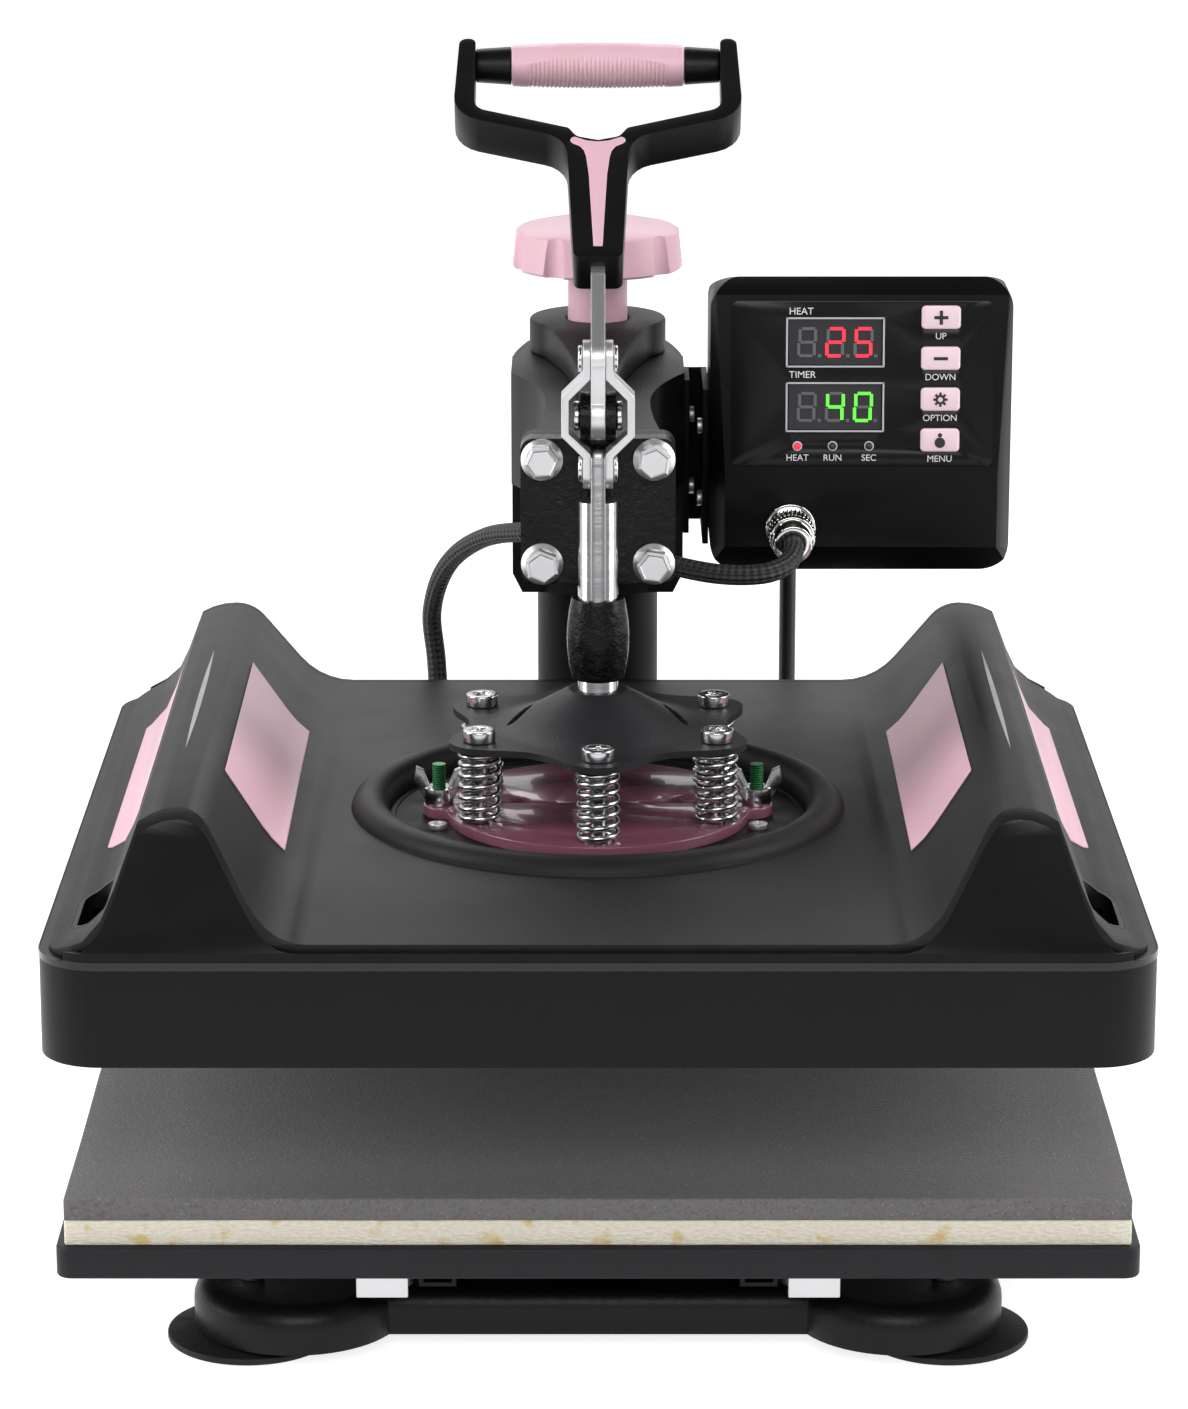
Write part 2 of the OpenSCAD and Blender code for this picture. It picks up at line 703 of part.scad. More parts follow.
module toggle_body() {
    back = plate_y + plate_t;
    color("#1f1f20") difference() {
        at_ram() union() {
            translate([0, plate_y + plate_t / 2, plate_z + plate_h / 2])
                along(plate_t) rounded(plate_w, plate_h, plate_corner);
            mirrored() translate([strap_in + ear_t / 2, 0, pivot_z]) across(ear_t) {
                circle(ear_r);
                polygon([[2, -8.5], [plate_y, -12], [plate_y, ear_foot], [back, ear_foot], [back, -4], [6, 8],
                    [0, ear_r]]);
            }
            translate([0, 0, guide_z]) rotate_extrude() intersection() {
                square([rod_r + guide_swell, guide_h]);
                translate([rod_r + guide_swell - guide_curve, guide_h / 2]) circle(guide_curve);
            }
            translate([-7, rod_r + 0.5, guide_z + 2]) cube([14, back - rod_r - 0.5, plate_z - guide_z + 6]);
        }
        at_ram() translate([0, 0, guide_z - cut]) cylinder(r = rod_r + run_gap, h = guide_h + 2 * cut);
        at_pivot() rotate([0, 90, 0])
            cylinder(r = pin_r + press_gap, h = 2 * (strap_in + ear_t + cut), center = true);
        at_flange_holes() cylinder(r = flange_hole_r, h = flange_hole_l, center = true);
    }
}

module flange_bolts() {
    color("#a9abae") at_flange_holes() hex_bolt(7.9, 2, 6.6, 5.5, flange_hole_r - fit_gap, plate_t + web_t);
}

pin_head_r = 5.5;
pin_head_t = 2.3;

module pivot_pin() {
    reach = strap_in + ear_t + 0.1;
    color("#b0b2b5") at_pivot() rotate([0, 90, 0]) {
        cylinder(r = pin_r, h = 2 * reach, center = true);
        for (s = [-1, 1]) translate([0, 0, s * (reach + pin_head_t / 2)])
            cylinder(r = pin_head_r, h = pin_head_t, center = true);
    }
}

// Controller, drawn with its front face on Y = 0 and its foot on Z = 0, then hung beside the arm

module at_case() { translate(case_at) children(); }

// Panel places: X to the right, Y up the leaning panel from the fold, Z out of the panel
module at_panel() { translate([0, 0, fold_z]) rotate([90 - panel_lean, 0, 0]) children(); }

case_split = 35;
case_bevel = 12;
side_bevel = 8;
case_corner = 12;
top_drop = 17;

module case_side(inset) {
    top_y = panel_h * tan(panel_lean);
    polygon([[case_d - inset, inset], [case_bevel + inset, inset], [inset, case_bevel + inset],
        [inset, fold_z], [top_y + inset, fold_z + panel_h - inset / 2],
        [top_y + side_bevel + inset, case_h - inset], [case_d - inset, case_h - top_drop - inset]]);
}

module case_plan(inset) {
    half = case_w / 2 - inset;
    polygon([[-half, case_d - inset], [-half, 10], [side_bevel - half, -4], [half - side_bevel, -4],
        [half, 10], [half, case_d - inset]]);
}

module case_form(inset) {
    intersection() {
        across(case_w) case_side(inset);
        linear_extrude(case_h) case_plan(inset);
        translate([0, 0, case_h / 2]) along(3 * case_d)
            rounded(case_w - 2 * inset, case_h - 2 * inset, case_corner - inset);
    }
}

module case_half(y0, y1) {
    intersection() {
        difference() {
            case_form(0);
            case_form(case_wall);
        }
        translate([-case_w, y0, -cut]) cube([2 * case_w, y1 - y0, case_h + 2 * cut]);
    }
}

function button_b(i) = button_first + button_pitch * i;
window_gap = 0.3;
lamp_r = 1.6;

module panel_openings(depth) {
    for (b = display_b) translate([display_x, b, -depth])
        linear_extrude(2 * depth) square(display_size + [2, 2] * window_gap, center = true);
    for (i = [0:3]) translate([button_x, button_b(i), -depth])
        linear_extrude(2 * depth) rounded(button_w + 2 * window_gap, button_h + 2 * window_gap, 2);
    for (x = lamp_x) translate([x, lamp_b, -depth]) cylinder(r = lamp_r + free_gap, h = 2 * depth);
}

socket_r = 7;

module case_front() {
    color("#232325") at_case() difference() {
        case_half(0, case_split);
        at_panel() panel_openings(panel_depth);
        translate([plug_at.x, 0, plug_at.y]) rotate([90, 0, 0])
            cylinder(r = socket_r + fit_gap, h = 2 * (case_wall + cut), center = true);
    }
}

module case_back() {
    color("#1e1e20") at_case() difference() {
        case_half(case_split + 0.05, case_d);
        translate([gland_at.x, case_d, gland_at.y]) rotate([90, 0, 0])
            cylinder(r = gland_r + fit_gap, h = 2 * (case_wall + cut), center = true);
        at_case_screws() cylinder(r = case_screw_r + fit_gap, h = 2 * (case_wall + cut), center = true);
    }
}

overlay_t = 0.6;
overlay_w = case_w - 16;
panel_depth = 7;

module display_overlay() {
    color("#101012") at_case() at_panel() difference() {
        translate([0, panel_h / 2 + 1, 0]) slab(overlay_w, panel_h - 6, overlay_t, 3);
        panel_openings(panel_depth);
    }
}

board_z = -9;
board_t = 1.6;
board_set = 12;

module led_lights() {
    color("#7a1518") at_case() at_panel() {
        for (b = display_b) translate([display_x, b, board_z + board_t])
            linear_extrude(-board_z - board_t - free_gap) square(display_size, center = true);
        for (x = lamp_x) translate([x, lamp_b, board_z + board_t])
            cylinder(r = lamp_r, h = overlay_t - board_z - board_t);
    }
}

switch_h = 2;

module circuit_board() {
    color("#1f6b3a") at_case() at_panel() {
        translate([0, panel_h / 2, board_z]) slab(case_w - 2 * board_set, panel_h - 8, board_t, 2);
        for (i = [0:3]) translate([button_x, button_b(i), board_z + board_t])
            linear_extrude(switch_h) square(6, center = true);
    }
}

button_back = board_z + board_t + switch_h + button_travel + seat_gap;
button_proud = 2.2;

module button(i) {
    color("#f0d7de") at_case() at_panel() translate([button_x, button_b(i), button_back])
        linear_extrude(button_proud - button_back) rounded(button_w, button_h, 1.7);
}

module button_plus() { button(3); }
module button_minus() { button(2); }
module button_setup() { button(1); }
module button_mode() { button(0); }

// Connector places: Z out of the lower panel towards the front
module at_plug() { at_case() translate([plug_at.x, 0, plug_at.y]) rotate([90, 0, 0]) children(); }

plug_ring = 20;
plug_out = 30;
socket_in = 14;
socket_out = 8;
socket_rim = 2;

module connector_socket() {
    color("#c3c5c8") at_plug() {
        translate([0, 0, -socket_in]) cylinder(r = socket_r, h = socket_in + socket_out);
        cylinder(r = socket_r + 3, h = socket_rim);
    }
}

module connector_plug() {
    color("#b9bbbe") at_plug() difference() {
        union() {
            translate([0, 0, socket_rim + seat_gap])
                cylinder(r = socket_r + 2, h = plug_ring - socket_rim - seat_gap);
            translate([0, 0, plug_ring]) cylinder(r = socket_r + 0.5, h = plug_out - plug_ring);
        }
        translate([0, 0, socket_rim]) cylinder(r = socket_r + fit_gap, h = socket_out - socket_rim + fit_gap);
        translate([0, 0, plug_ring - 3]) cylinder(r = braid_d / 2 + free_gap, h = plug_out);
    }
}

gland_r = 6;
gland_rim = 3;

module cord_gland() {
    color("#19191a") at_case() translate([gland_at.x, case_d, gland_at.y]) rotate([-90, 0, 0]) difference() {
        union() {
            translate([0, 0, -case_wall - 2]) cylinder(r = gland_r, h = case_wall + 3);
            cylinder(r = gland_r + 2.5, h = gland_rim);
            translate([0, 0, gland_rim])
                cylinder(r1 = gland_r + 2, r2 = lead_r + 1.5, h = gland_l - gland_rim);
        }
        translate([0, 0, -case_wall - 2 - cut]) cylinder(r = lead_r + free_gap, h = gland_l + case_wall + 4);
    }
}

bracket_t = 2.4;
bracket_bolt_r = 2;
bracket_bolt_l = 11;
bracket_z = [case_z + 5, case_z + 69];
bolt_z = [22, 52];
leaf_rear = arm_reach;
arm_leaf = 28;
case_leaf = 47;
case_screw_r = 1.8;

// Bolt places with Z out of the right side of the arm, and screw places with Z into the case
module at_bracket_bolts() {
    at_ram() for (z = bolt_z) translate([housing_r, arm_reach - arm_leaf / 2, case_z + z])
        rotate([0, 90, 0]) children();
}

module at_case_screws() {
    for (z = bolt_z) translate([-case_w / 2, case_set - 37, z]) rotate([0, 90, 0]) children();
}

module controller_bracket() {
    case_side_x = case_at.x - case_w / 2;
    low = bracket_z[0];
    h = bracket_z[1] - low;
    color("#39393b") difference() {
        at_ram() {
            translate([housing_r + run_gap, leaf_rear - arm_leaf, low]) cube([bracket_t, arm_leaf, h]);
            translate([case_side_x - run_gap - bracket_t, leaf_rear - case_leaf, low])
                cube([bracket_t, case_leaf, h]);
            translate([housing_r + run_gap, leaf_rear - bracket_t, low])
                cube([case_side_x - housing_r - 2 * run_gap, bracket_t, h]);
        }
        at_bracket_bolts() cylinder(r = bracket_bolt_r + fit_gap, h = 2 * (bracket_t + cut), center = true);
        at_case() at_case_screws()
            cylinder(r = case_screw_r + fit_gap, h = 2 * (bracket_t + cut), center = true);
    }
}

module controller_screws() {
    color("#b5b7ba") {
        at_bracket_bolts() translate([0, 0, run_gap + bracket_t])
            pan_screw(3.4, 2.2, bracket_bolt_r, bracket_bolt_l);
        at_case() at_case_screws() translate([0, 0, -run_gap - bracket_t]) rotate([180, 0, 0])
            pan_screw(3.2, 2, case_screw_r, 7);
    }
}

module head_cable() { color("#242426") at_ram() swept(braid_route, braid_d / 2, 10); }

// Pressure knob

knob_stem_r = 12.25;
knob_lobes = 9;
knob_notch = 6;
knob_dip = 3;
knob_turn = 9;
knob_taper = 1.6;
knob_crown = 3.8;
knob_flat = 0.55 * knob_r;
knob_edge = 1;

// Half outline of the knob: a wall that flares downwards, under a low crown
module knob_side() {
    wall = knob_h - knob_crown;
    polygon([[0, 0], [knob_r - knob_edge, 0], [knob_r, knob_edge], [knob_r - knob_taper, wall],
        [knob_r - knob_taper - 1.5 * knob_edge, wall + knob_edge], [knob_flat, knob_h], [0, knob_h]]);
}

module pressure_knob() {
    color("#deb2c0") at_post() difference() {
        union() {
            translate([0, 0, arm_top + 0.2]) cylinder(r = knob_stem_r, h = knob_z - arm_top);
            difference() {
                translate([0, 0, knob_z]) rotate_extrude() knob_side();
                translate([0, 0, knob_z - cut]) rotate(knob_turn)
                    ring_of(knob_lobes, knob_r + knob_notch - knob_dip)
                        cylinder(r = knob_notch, h = knob_h + 2 * cut);
            }
        }
        translate([0, 0, arm_top]) cylinder(r = screw_r + press_gap, h = knob_z - arm_top - 3.9);
    }
}

module lead_screw() {
    low = post_top - 59;
    color("#b9babd") at_post() translate([0, 0, low]) cylinder(r = screw_r, h = knob_z - 4 - low);
}

// Lever, handle and links

module at_pivot() { at_ram() translate([0, 0, pivot_z]) children(); }

// Handle places: X across, Y out along the handle from the crank rivet, Z out of its front face
module at_handle() { at_ram() translate([0, 0, crank_z]) rotate([90 - handle_lean, 0, 0]) children(); }

stem_start = 44.4;
lever_end = 66;
lever_heel = 35;
tang_w = 7;

module lever_plate() {
    way = [sin(handle_lean), cos(handle_lean)];
    heel = [0, crank] + lever_heel * way;
    tip = [0, crank] + (lever_end - tang_w / 2) * way;
    color("#9fa1a4") at_pivot() difference() {
        across(lever_t) {
            circle(ear_r);
            bar([0, 0], [0, crank], 14);
            bar([0, crank], heel, 15);
            bar(heel, tip, tang_w);
            bar([0, 0], 0.7 * heel + [0, 0.3 * crank], 10);
        }
        rotate([0, 90, 0]) cylinder(r = pin_r + run_gap, h = lever_t + 2 * cut, center = true);
        translate([0, 0, crank]) rotate([0, 90, 0])
            cylinder(r = rivet_r + run_gap, h = lever_t + 2 * cut, center = true);
    }
}

handle_end = grip_reach + 6.2;
arm_out = grip_half + arm_w;
// Right half of the handle, as X and distance along it, with the radius of each corner
handle_points = [[0, stem_start], [9.2, stem_start], [12, 108.4], [arm_out, 121.2],
    [arm_out - 2, handle_end], [grip_half, handle_end], [grip_half, 125], [11.3, 114], [8.2, 109.3],
    [0, 107.2]];
handle_bends = [3, 12, 13, 3.2, 2.6, 5.5, 2.5, 4];
handle_edge = concat([handle_points[0]],
    [for (i = [1:len(handle_bends)]) each round_corner(handle_points[i - 1], handle_points[i],
        handle_points[i + 1], handle_bends[i - 1])],
    [handle_points[len(handle_points) - 1]]);
// Right half of the inlay in the front of the handle
inlay_edge = [[0, 50], [1.7, 50], [3.5, 88.5], [4.5, 98], [5.3, 101.4], [6.8, 103.7], [9.4, 105.1],
    [10.4, 106.1], [10.6, 107.3], [10, 108.4], [8.8, 108.8], [7.2, 108.1], [4.2, 106.8], [0, 106.2]];
inlay_t = 1.4;
grip_core_r = 5.5;
rod_gap = 0.2;

module half_and_half(edge) {
    polygon(concat(edge, [for (i = [len(edge) - 2:-1:1]) [-edge[i].x, edge[i].y]]));
}

module handle_frame() {
    color("#1f1f21") at_handle() difference() {
        translate([0, 0, -handle_t / 2]) linear_extrude(handle_t) half_and_half(handle_edge);
        translate([-lever_t / 2 - fit_gap, stem_start - cut, -tang_w / 2 - fit_gap])
            cube([lever_t + 2 * fit_gap, lever_end - stem_start + cut + 0.5, tang_w + 2 * fit_gap]);
        translate([0, 0, handle_t / 2 - inlay_t]) linear_extrude(inlay_t + cut) half_and_half(inlay_edge);
        translate([0, grip_reach, 0]) rotate([0, 90, 0])
            cylinder(r = grip_core_r + fit_gap, h = 2 * arm_out - 5, center = true);
    }
}

module handle_inlay() {
    color("#deb2c0") at_handle() translate([0, 0, handle_t / 2 - inlay_t])
        linear_extrude(inlay_t + 0.3) half_and_half(inlay_edge);
}

module grip_rod() {
    color("#1a1a1b") at_handle() translate([0, grip_reach, 0]) rotate([0, 90, 0]) {
        cylinder(r = grip_core_r, h = 2 * arm_out - 6, center = true);
        for (s = [0, 1]) mirror([0, 0, s]) translate([0, 0, sleeve_half + rod_gap])
            cylinder(r1 = sleeve_r - 1.4, r2 = sleeve_r - 2.3, h = grip_half - sleeve_half - 2 * rod_gap);
    }
}

module grip_sleeve() {
    color("#deb2c0") at_handle() translate([0, grip_reach, 0]) rotate([0, 90, 0])
        translate([0, 0, -sleeve_half]) tube(sleeve_r, grip_core_r + press_gap, 2 * sleeve_half);
}

strap_end = 7.2;
strap_bend = 6.7;
// Inner edge of a strap as X and drop below the upper rivet: slim at both ends, a belly between
strap_edge = [[strap_in, strap_end], [strap_in, -strap_bend],
    [strap_in + strap_belly, -strap_bend - strap_belly],
    [strap_in + strap_belly, strap_bend + strap_belly - link_l],
    [strap_in, strap_bend - link_l], [strap_in, -link_l - strap_end]];
strap_out = strap_in + strap_belly + strap_t + cut;
function turned(v) = [-v.y, v.x];
function edge_way(i) = unit(strap_edge[min(i + 1, 5)] - strap_edge[min(i, 4)]);
// Corner of the outer edge, a strap thickness away on the mitre line
function mitre(i) = let (a = turned(edge_way(max(i - 1, 0))), b = turned(edge_way(i)))
    strap_edge[i] + strap_t * (a + b) / (1 + a * b);

module toggle_links() {
    color("#a6a8ab") at_ram() translate([0, 0, crank_z]) difference() {
        intersection() {
            mirrored() along(strap_w) polygon(concat(strap_edge, [for (i = [5:-1:0]) mitre(i)]));
            across(2 * strap_out) bar([0, 1], [0, -link_l - 1.2], strap_w);
        }
        for (z = [0, -link_l]) translate([0, 0, z]) rotate([0, 90, 0])
            cylinder(r = rivet_r + press_gap, h = 2 * strap_out, center = true);
    }
}

head_r = 5;
head_t = 1.7;

module link_rivets() {
    out = strap_in + strap_t + seat_gap;
    color("#b9bbbe") at_ram() translate([0, 0, crank_z]) rotate([0, 90, 0]) {
        cylinder(r = rivet_r, h = 2 * out, center = true);
        for (x = [0, link_l], s = [-1, 1]) translate([x, 0, s * (out + head_t / 2)])
            cylinder(r = head_r, h = head_t, center = true);
        for (s = [-1, 1]) translate([link_l, 0, s * (strap_in + seat_gap + strap_t / 2)])
            cylinder(r = rivet_r, h = strap_t, center = true);
    }
}

// Ram and spider

dome_top = spider_top + dome_h;
dome_roof = 3.4;
rod_end = dome_top - 7.6;
collar_r = 10;

module ram_rod() {
    color("#b4b6b9") at_ram() difference() {
        union() {
            intersection() {
                translate([0, 0, rod_end]) cylinder(r = rod_r, h = ram_pin_z + 6 - rod_end);
                union() {
                    translate([-rod_r, -rod_r, 0]) cube([2 * rod_r, 2 * rod_r, shoulder_z]);
                    translate([-lever_t / 2, -rod_r, 0]) cube([lever_t, 2 * rod_r, ram_pin_z + 10]);
                }
            }
            translate([0, 0, rod_end]) cylinder(r = collar_r, h = dome_top - dome_roof - seat_gap - rod_end);
        }
        translate([0, 0, ram_pin_z]) rotate([0, 90, 0])
            cylinder(r = rivet_r + seat_gap, h = 2 * rod_r, center = true);
    }
}

lobe_tip = 11;
hollow_waist = 48.5;
spring_hole_r = 3.4;
dome_r = 40;
slot_ends = [[24.5, 8], [33.5, -8]];
slot_w = 3.4;
spider_steps = 96;
// Radius of the edge of the spider, with a lobe at every spring and hollows between
function spider_r(a) = hollow_waist
    + (spring_ring + lobe_tip - hollow_waist) * pow((1 + cos(6 * a)) / 2, 1.2);

module spider_outline() {
    polygon([for (i = [0:spider_steps - 1]) let (a = 360 * i / spider_steps)
        spider_r(a + 90) * [cos(a), sin(a)]]);
}

// Slot through the dome, pointed at both ends
module slot_outline() {
    way = slot_ends[1] - slot_ends[0];
    side = slot_w / 2 * [-way[1], way[0]] / norm(way);
    polygon([slot_ends[0], slot_ends[0] + 0.2 * way + side, slot_ends[0] + 0.8 * way + side,
        slot_ends[1], slot_ends[0] + 0.8 * way - side, slot_ends[0] + 0.2 * way - side]);
}

module spider_plate() {
    color("#262628") at_ram() difference() {
        union() {
            translate([0, 0, spider_z]) linear_extrude(spider_t) spider_outline();
            translate([0, 0, spider_top]) cylinder(r1 = dome_r, r2 = rod_r + 3.5, h = dome_h);
        }
        translate([0, 0, spider_z - 0.01])
            cylinder(r1 = dome_r - 2, r2 = collar_r + 1, h = dome_top - dome_roof - spider_z);
        translate([0, 0, spider_z - cut]) cylinder(r = rod_r + press_gap, h = dome_h + spider_t + 2 * cut);
        translate([0, 0, spider_z - cut]) ring_of(6, spring_ring)
            cylinder(r = spring_hole_r, h = spider_t + 2 * cut);
        mirrored() translate([0, 0, spider_z - cut])
            linear_extrude(spider_t + dome_h + 2 * cut) slot_outline();
    }
}

// Adapter, springs and wing nuts

module at_studs() { at_ram() for (s = [-1, 1]) translate([s * stud_x, 0, 0]) children(); }

ear_w = 18;
key_ends = [[17, 2], [37, 2]];
key_w = 3.4;
key_hole = [29, 4.5];
key_r = 3.6;

module adapter_outline() {
    circle(adapter_r);
    mirrored() bar([adapter_r - 14, 0], [stud_x - 3, 0], ear_w);
}

module adapter_plate() {
    color("#8c5a6c") difference() {
        at_ram() translate([0, 0, adapter_z]) linear_extrude(adapter_t) difference() {
            adapter_outline();
            mirrored() {
                bar(key_ends[0], key_ends[1], key_w);
                translate(key_hole) circle(key_r);
            }
        }
        at_ram() translate([0, 0, adapter_z - cut]) ring_of(6, spring_ring)
            cylinder(r = spring_screw_r + press_gap, h = adapter_t + 2 * cut);
        at_studs() translate([0, 0, adapter_z - cut])
            cylinder(r = stud_r + fit_gap, h = adapter_t + 2 * cut);
    }
}

spring_screw_r = 3;

module spring_screws() {
    color("#c2c4c7") at_ram() translate([0, 0, spider_top + 0.1]) ring_of(6, spring_ring)
        pan_screw(6, 4.5, spring_screw_r, spider_top - adapter_z);
}

spring_rings = 8;
spring_rise = spring_l - 2 * (wire_r + seat_gap);
spring_route = [for (i = [0:spring_rings * spring_turns]) let (u = i / (spring_rings * spring_turns))
    [spring_r * cos(360 * spring_turns * u), spring_r * sin(360 * spring_turns * u),
        wire_r + seat_gap + spring_rise * u]];

module springs() {
    echo(spring_gap = self_gap(spring_route, 2 * wire_r, spring_rings - 2));
    color("#9a9c9f") at_ram() translate([0, 0, adapter_top])
        ring_of(6, spring_ring) swept(spring_route, wire_r, 6);
}

stud_top = adapter_top + 15.5;
dish_t = 3;
dish_z = adapter_z - dish_t;

module wing_studs() {
    color("#3f9a5a") at_studs() translate([0, 0, dish_z]) cylinder(r = stud_r, h = stud_top - dish_z);
}

wing_hub_h = 6.4;
wing_h = 14.4;
wing_t = 2.4;

module wing_nut() {
    difference() {
        union() {
            cylinder(r = 5.5, h = wing_hub_h);
            mirrored() along(wing_t)
                polygon([[2, 1.5], [5.5, 2], [9.5, 9], [8.6, wing_h], [5.8, wing_h - 1.4], [3, wing_hub_h]]);
        }
        translate([0, 0, -cut]) cylinder(r = stud_r + run_gap, h = wing_h + 2 * cut);
    }
}

module wing_nut_left() {
    color("#c9cbce") at_ram() translate([-stud_x, 0, adapter_top + 0.1]) wing_nut();
}

module wing_nut_right() {
    color("#c9cbce") at_ram() translate([stud_x, 0, adapter_top + 0.1]) wing_nut();
}

// Head cover

hollow_arc = 28;
crest_arc = 15;
hump_slope = 50;
ridge_slope = 30;
brow_arc = 28;
brow_steps = 3;
cover_edge = cover_w / 2 - skirt_wall - seat_gap;
trough_half = cover_w / 2 - hump_w;
hump_x = trough_half + (hollow_arc + crest_arc) * sin(hump_slope)
    + (hump_h - (hollow_arc + crest_arc) * (1 - cos(hump_slope))) / tan(hump_slope);
shelf_drop = 5;
// Outer side of a hump below its ridge, as distance past the crest and height over the trough
outer_side = [[20, 13.5], [23.8, 5.6], [29.3, 0.8], [39.8, -4], [cover_edge - hump_x, -shelf_drop]];
arc_steps = 5;

// Cross section of the right half of the cover: hollow, slope, crest, brow, ridge and outer side
rise_right = concat(
    [for (i = [0:arc_steps]) let (a = hump_slope * i / arc_steps)
        [trough_half + hollow_arc * sin(a), trough_z + hollow_arc * (1 - cos(a))]],
    [for (i = [arc_steps:-1:0]) let (a = hump_slope * i / arc_steps)
        [hump_x - crest_arc * sin(a), trough_z + hump_h - crest_arc * (1 - cos(a))]],
    [for (i = [1:brow_steps]) let (a = ridge_slope * i / brow_steps)
        [hump_x + brow_arc * sin(a), trough_z + hump_h - brow_arc * (1 - cos(a))]],
    [for (p = outer_side) [hump_x + p.x, trough_z + p.y]]);
rise_left = [for (i = [len(rise_right) - 1:-1:0]) [-rise_right[i].x, rise_right[i].y]];
rise_all = concat(rise_left, rise_right);
function lifted(line, dz) = [for (p = line) [p.x, p.y + dz]];
function reversed(line) = [for (i = [len(line) - 1:-1:0]) line[i]];

// A sheet of the cover between two heights over its surface
module cover_sheet(low, high) { polygon(concat(lifted(rise_all, high), reversed(lifted(rise_all, low)))); }

// All that lies under the cover surface, down to a level
module under_cover(z, low) {
    polygon(concat(lifted(rise_all, low), [[cover_edge, z], [-cover_edge, z]]));
}

ramp_foot = trough_z - 2;
ramp_run = ramp_d / (trough_z + hump_h - ramp_foot);

// All that lies behind the sloping front plane of the cover, moved back by a shift
module behind_ramp(shift) {
    reach = trough_z;
    front = shift - cover_d / 2;
    across(2 * cover_w) polygon([[front - ramp_foot * ramp_run, 0], [cover_d, 0],
        [cover_d, ramp_foot + reach], [front + reach * ramp_run, ramp_foot + reach]]);
}

well_at = [cover_w / 2 - 18, cover_d / 2 - 44];
well_r = 5.5;
well_l = 26;
well_wall = 2;
well_floor = trough_z - 16;
ramp_wall = 5;
sheet_d = cover_d - 2 * skirt_wall - 2 * seat_gap;
head_h = trough_z + hump_h - skirt_z + cut;

rib = [cover_w / 2 - well_at.x - skirt_wall / 2, 6, 8];

module at_wells() { mirrored() translate([well_at.x, -well_at.y, 0]) children(); }

// A long screw well, widened by a margin
module well(margin) { linear_extrude(head_h) bar([0, -well_l / 2], [0, well_l / 2], 2 * (well_r + margin)); }

module cover_top() {
    ring_arc = (ring_half * ring_half + ring_h * ring_h) / (2 * ring_h);
    color("#29292b") at_cover() difference() {
        union() {
            intersection() {
                along(sheet_d) cover_sheet(-sheet_t, 0);
                behind_ramp(seat_gap);
                translate([0, 0, skirt_z])
                    slab(2 * cover_edge, sheet_d, head_h, cover_corner - skirt_wall - seat_gap);
            }
            translate([0, -cover_mid, 0]) rotate_extrude() intersection() {
                translate([ring_r, trough_z + ring_h - ring_arc]) circle(ring_arc);
                translate([ring_r - ring_half, sheet_z]) square(2 * ring_half);
            }
        }
        translate([0, -cover_mid, skirt_z]) cylinder(r = ring_r - ring_half, h = head_h);
        at_wells() translate([0, 0, skirt_z]) well(well_wall + seat_gap);
    }
}

module cover_skirt() {
    color("#202022") at_cover() difference() {
        intersection() {
            translate([0, 0, skirt_z]) slab(cover_w, cover_d, head_h, cover_corner);
            union() {
                difference() {
                    translate([0, 0, skirt_z]) slab(cover_w, cover_d, skirt_h, cover_corner);
                    translate([0, 0, skirt_z - cut]) slab(cover_w - 2 * skirt_wall, cover_d - 2 * skirt_wall,
                        skirt_h + 2 * cut, cover_corner - skirt_wall);
                }
                intersection() {
                    along(2 * cover_d) under_cover(skirt_top - 4, -sheet_t - seat_gap);
                    difference() {
                        behind_ramp(0);
                        behind_ramp(ramp_wall);
                    }
                }
                translate([0, (skirt_wall - cover_d) / 2, skirt_top + 1])
                    cube([2 * cover_edge, skirt_wall, 5], center = true);
                translate([0, (cover_d - skirt_wall) / 2, 0]) along(skirt_wall) under_cover(skirt_z + 4, 0);
                intersection() {
                    at_wells() translate([0, 0, well_floor - well_wall]) {
                        well(well_wall);
                        translate([0, -rib.y / 2, 0]) cube(rib);
                    }
                    along(2 * cover_d) under_cover(skirt_z, 0);
                    behind_ramp(0);
                }
            }
        }
        at_wells() translate([0, 0, well_floor]) well(0);
        at_wells() translate([0, 0, skirt_z]) cylinder(r = well_screw_r + fit_gap, h = head_h);
        translate([head_gland.x, cover_d / 2, head_gland.y]) rotate([90, 0, 0])
            cylinder(r = head_gland_r + fit_gap, h = 4 * skirt_wall, center = true);
    }
}

well_screw_r = 2;

inlay_gap = 0.02;
cover_inlay_t = 0.8;
// Plan outlines of the inlays on the inner and the outer side of the right hump
inner_inlay = [for (p = [[36, -50], [36, 105], [13, 89], [13, -72]]) p + [trough_half, 0]];
outer_inlay = [for (p = [[-29, -75], [-29, 125], [-15, 105], [-15, -57]]) p + [cover_w / 2, 0]];

module cover_inlays() {
    color("#deb2c0") at_ram() mirrored() for (plan = [inner_inlay, outer_inlay]) intersection() {
        along(cover_d) cover_sheet(inlay_gap, cover_inlay_t);
        linear_extrude(2 * trough_z) polygon(plan);
    }
}

// Heater

platen_w = cover_w - 2 * skirt_wall - 3;
platen_d = cover_d - 2 * skirt_wall - 53;

module heating_platen() {
    color("#8e8f91") at_ram() translate([0, 0, platen_z]) slab(platen_w, platen_d, platen_t, 6);
}

element_r = 4;
loop_r = platen_d / 2 - 60;
loop_x = [50 - platen_w / 2, platen_w / 2 - 130];

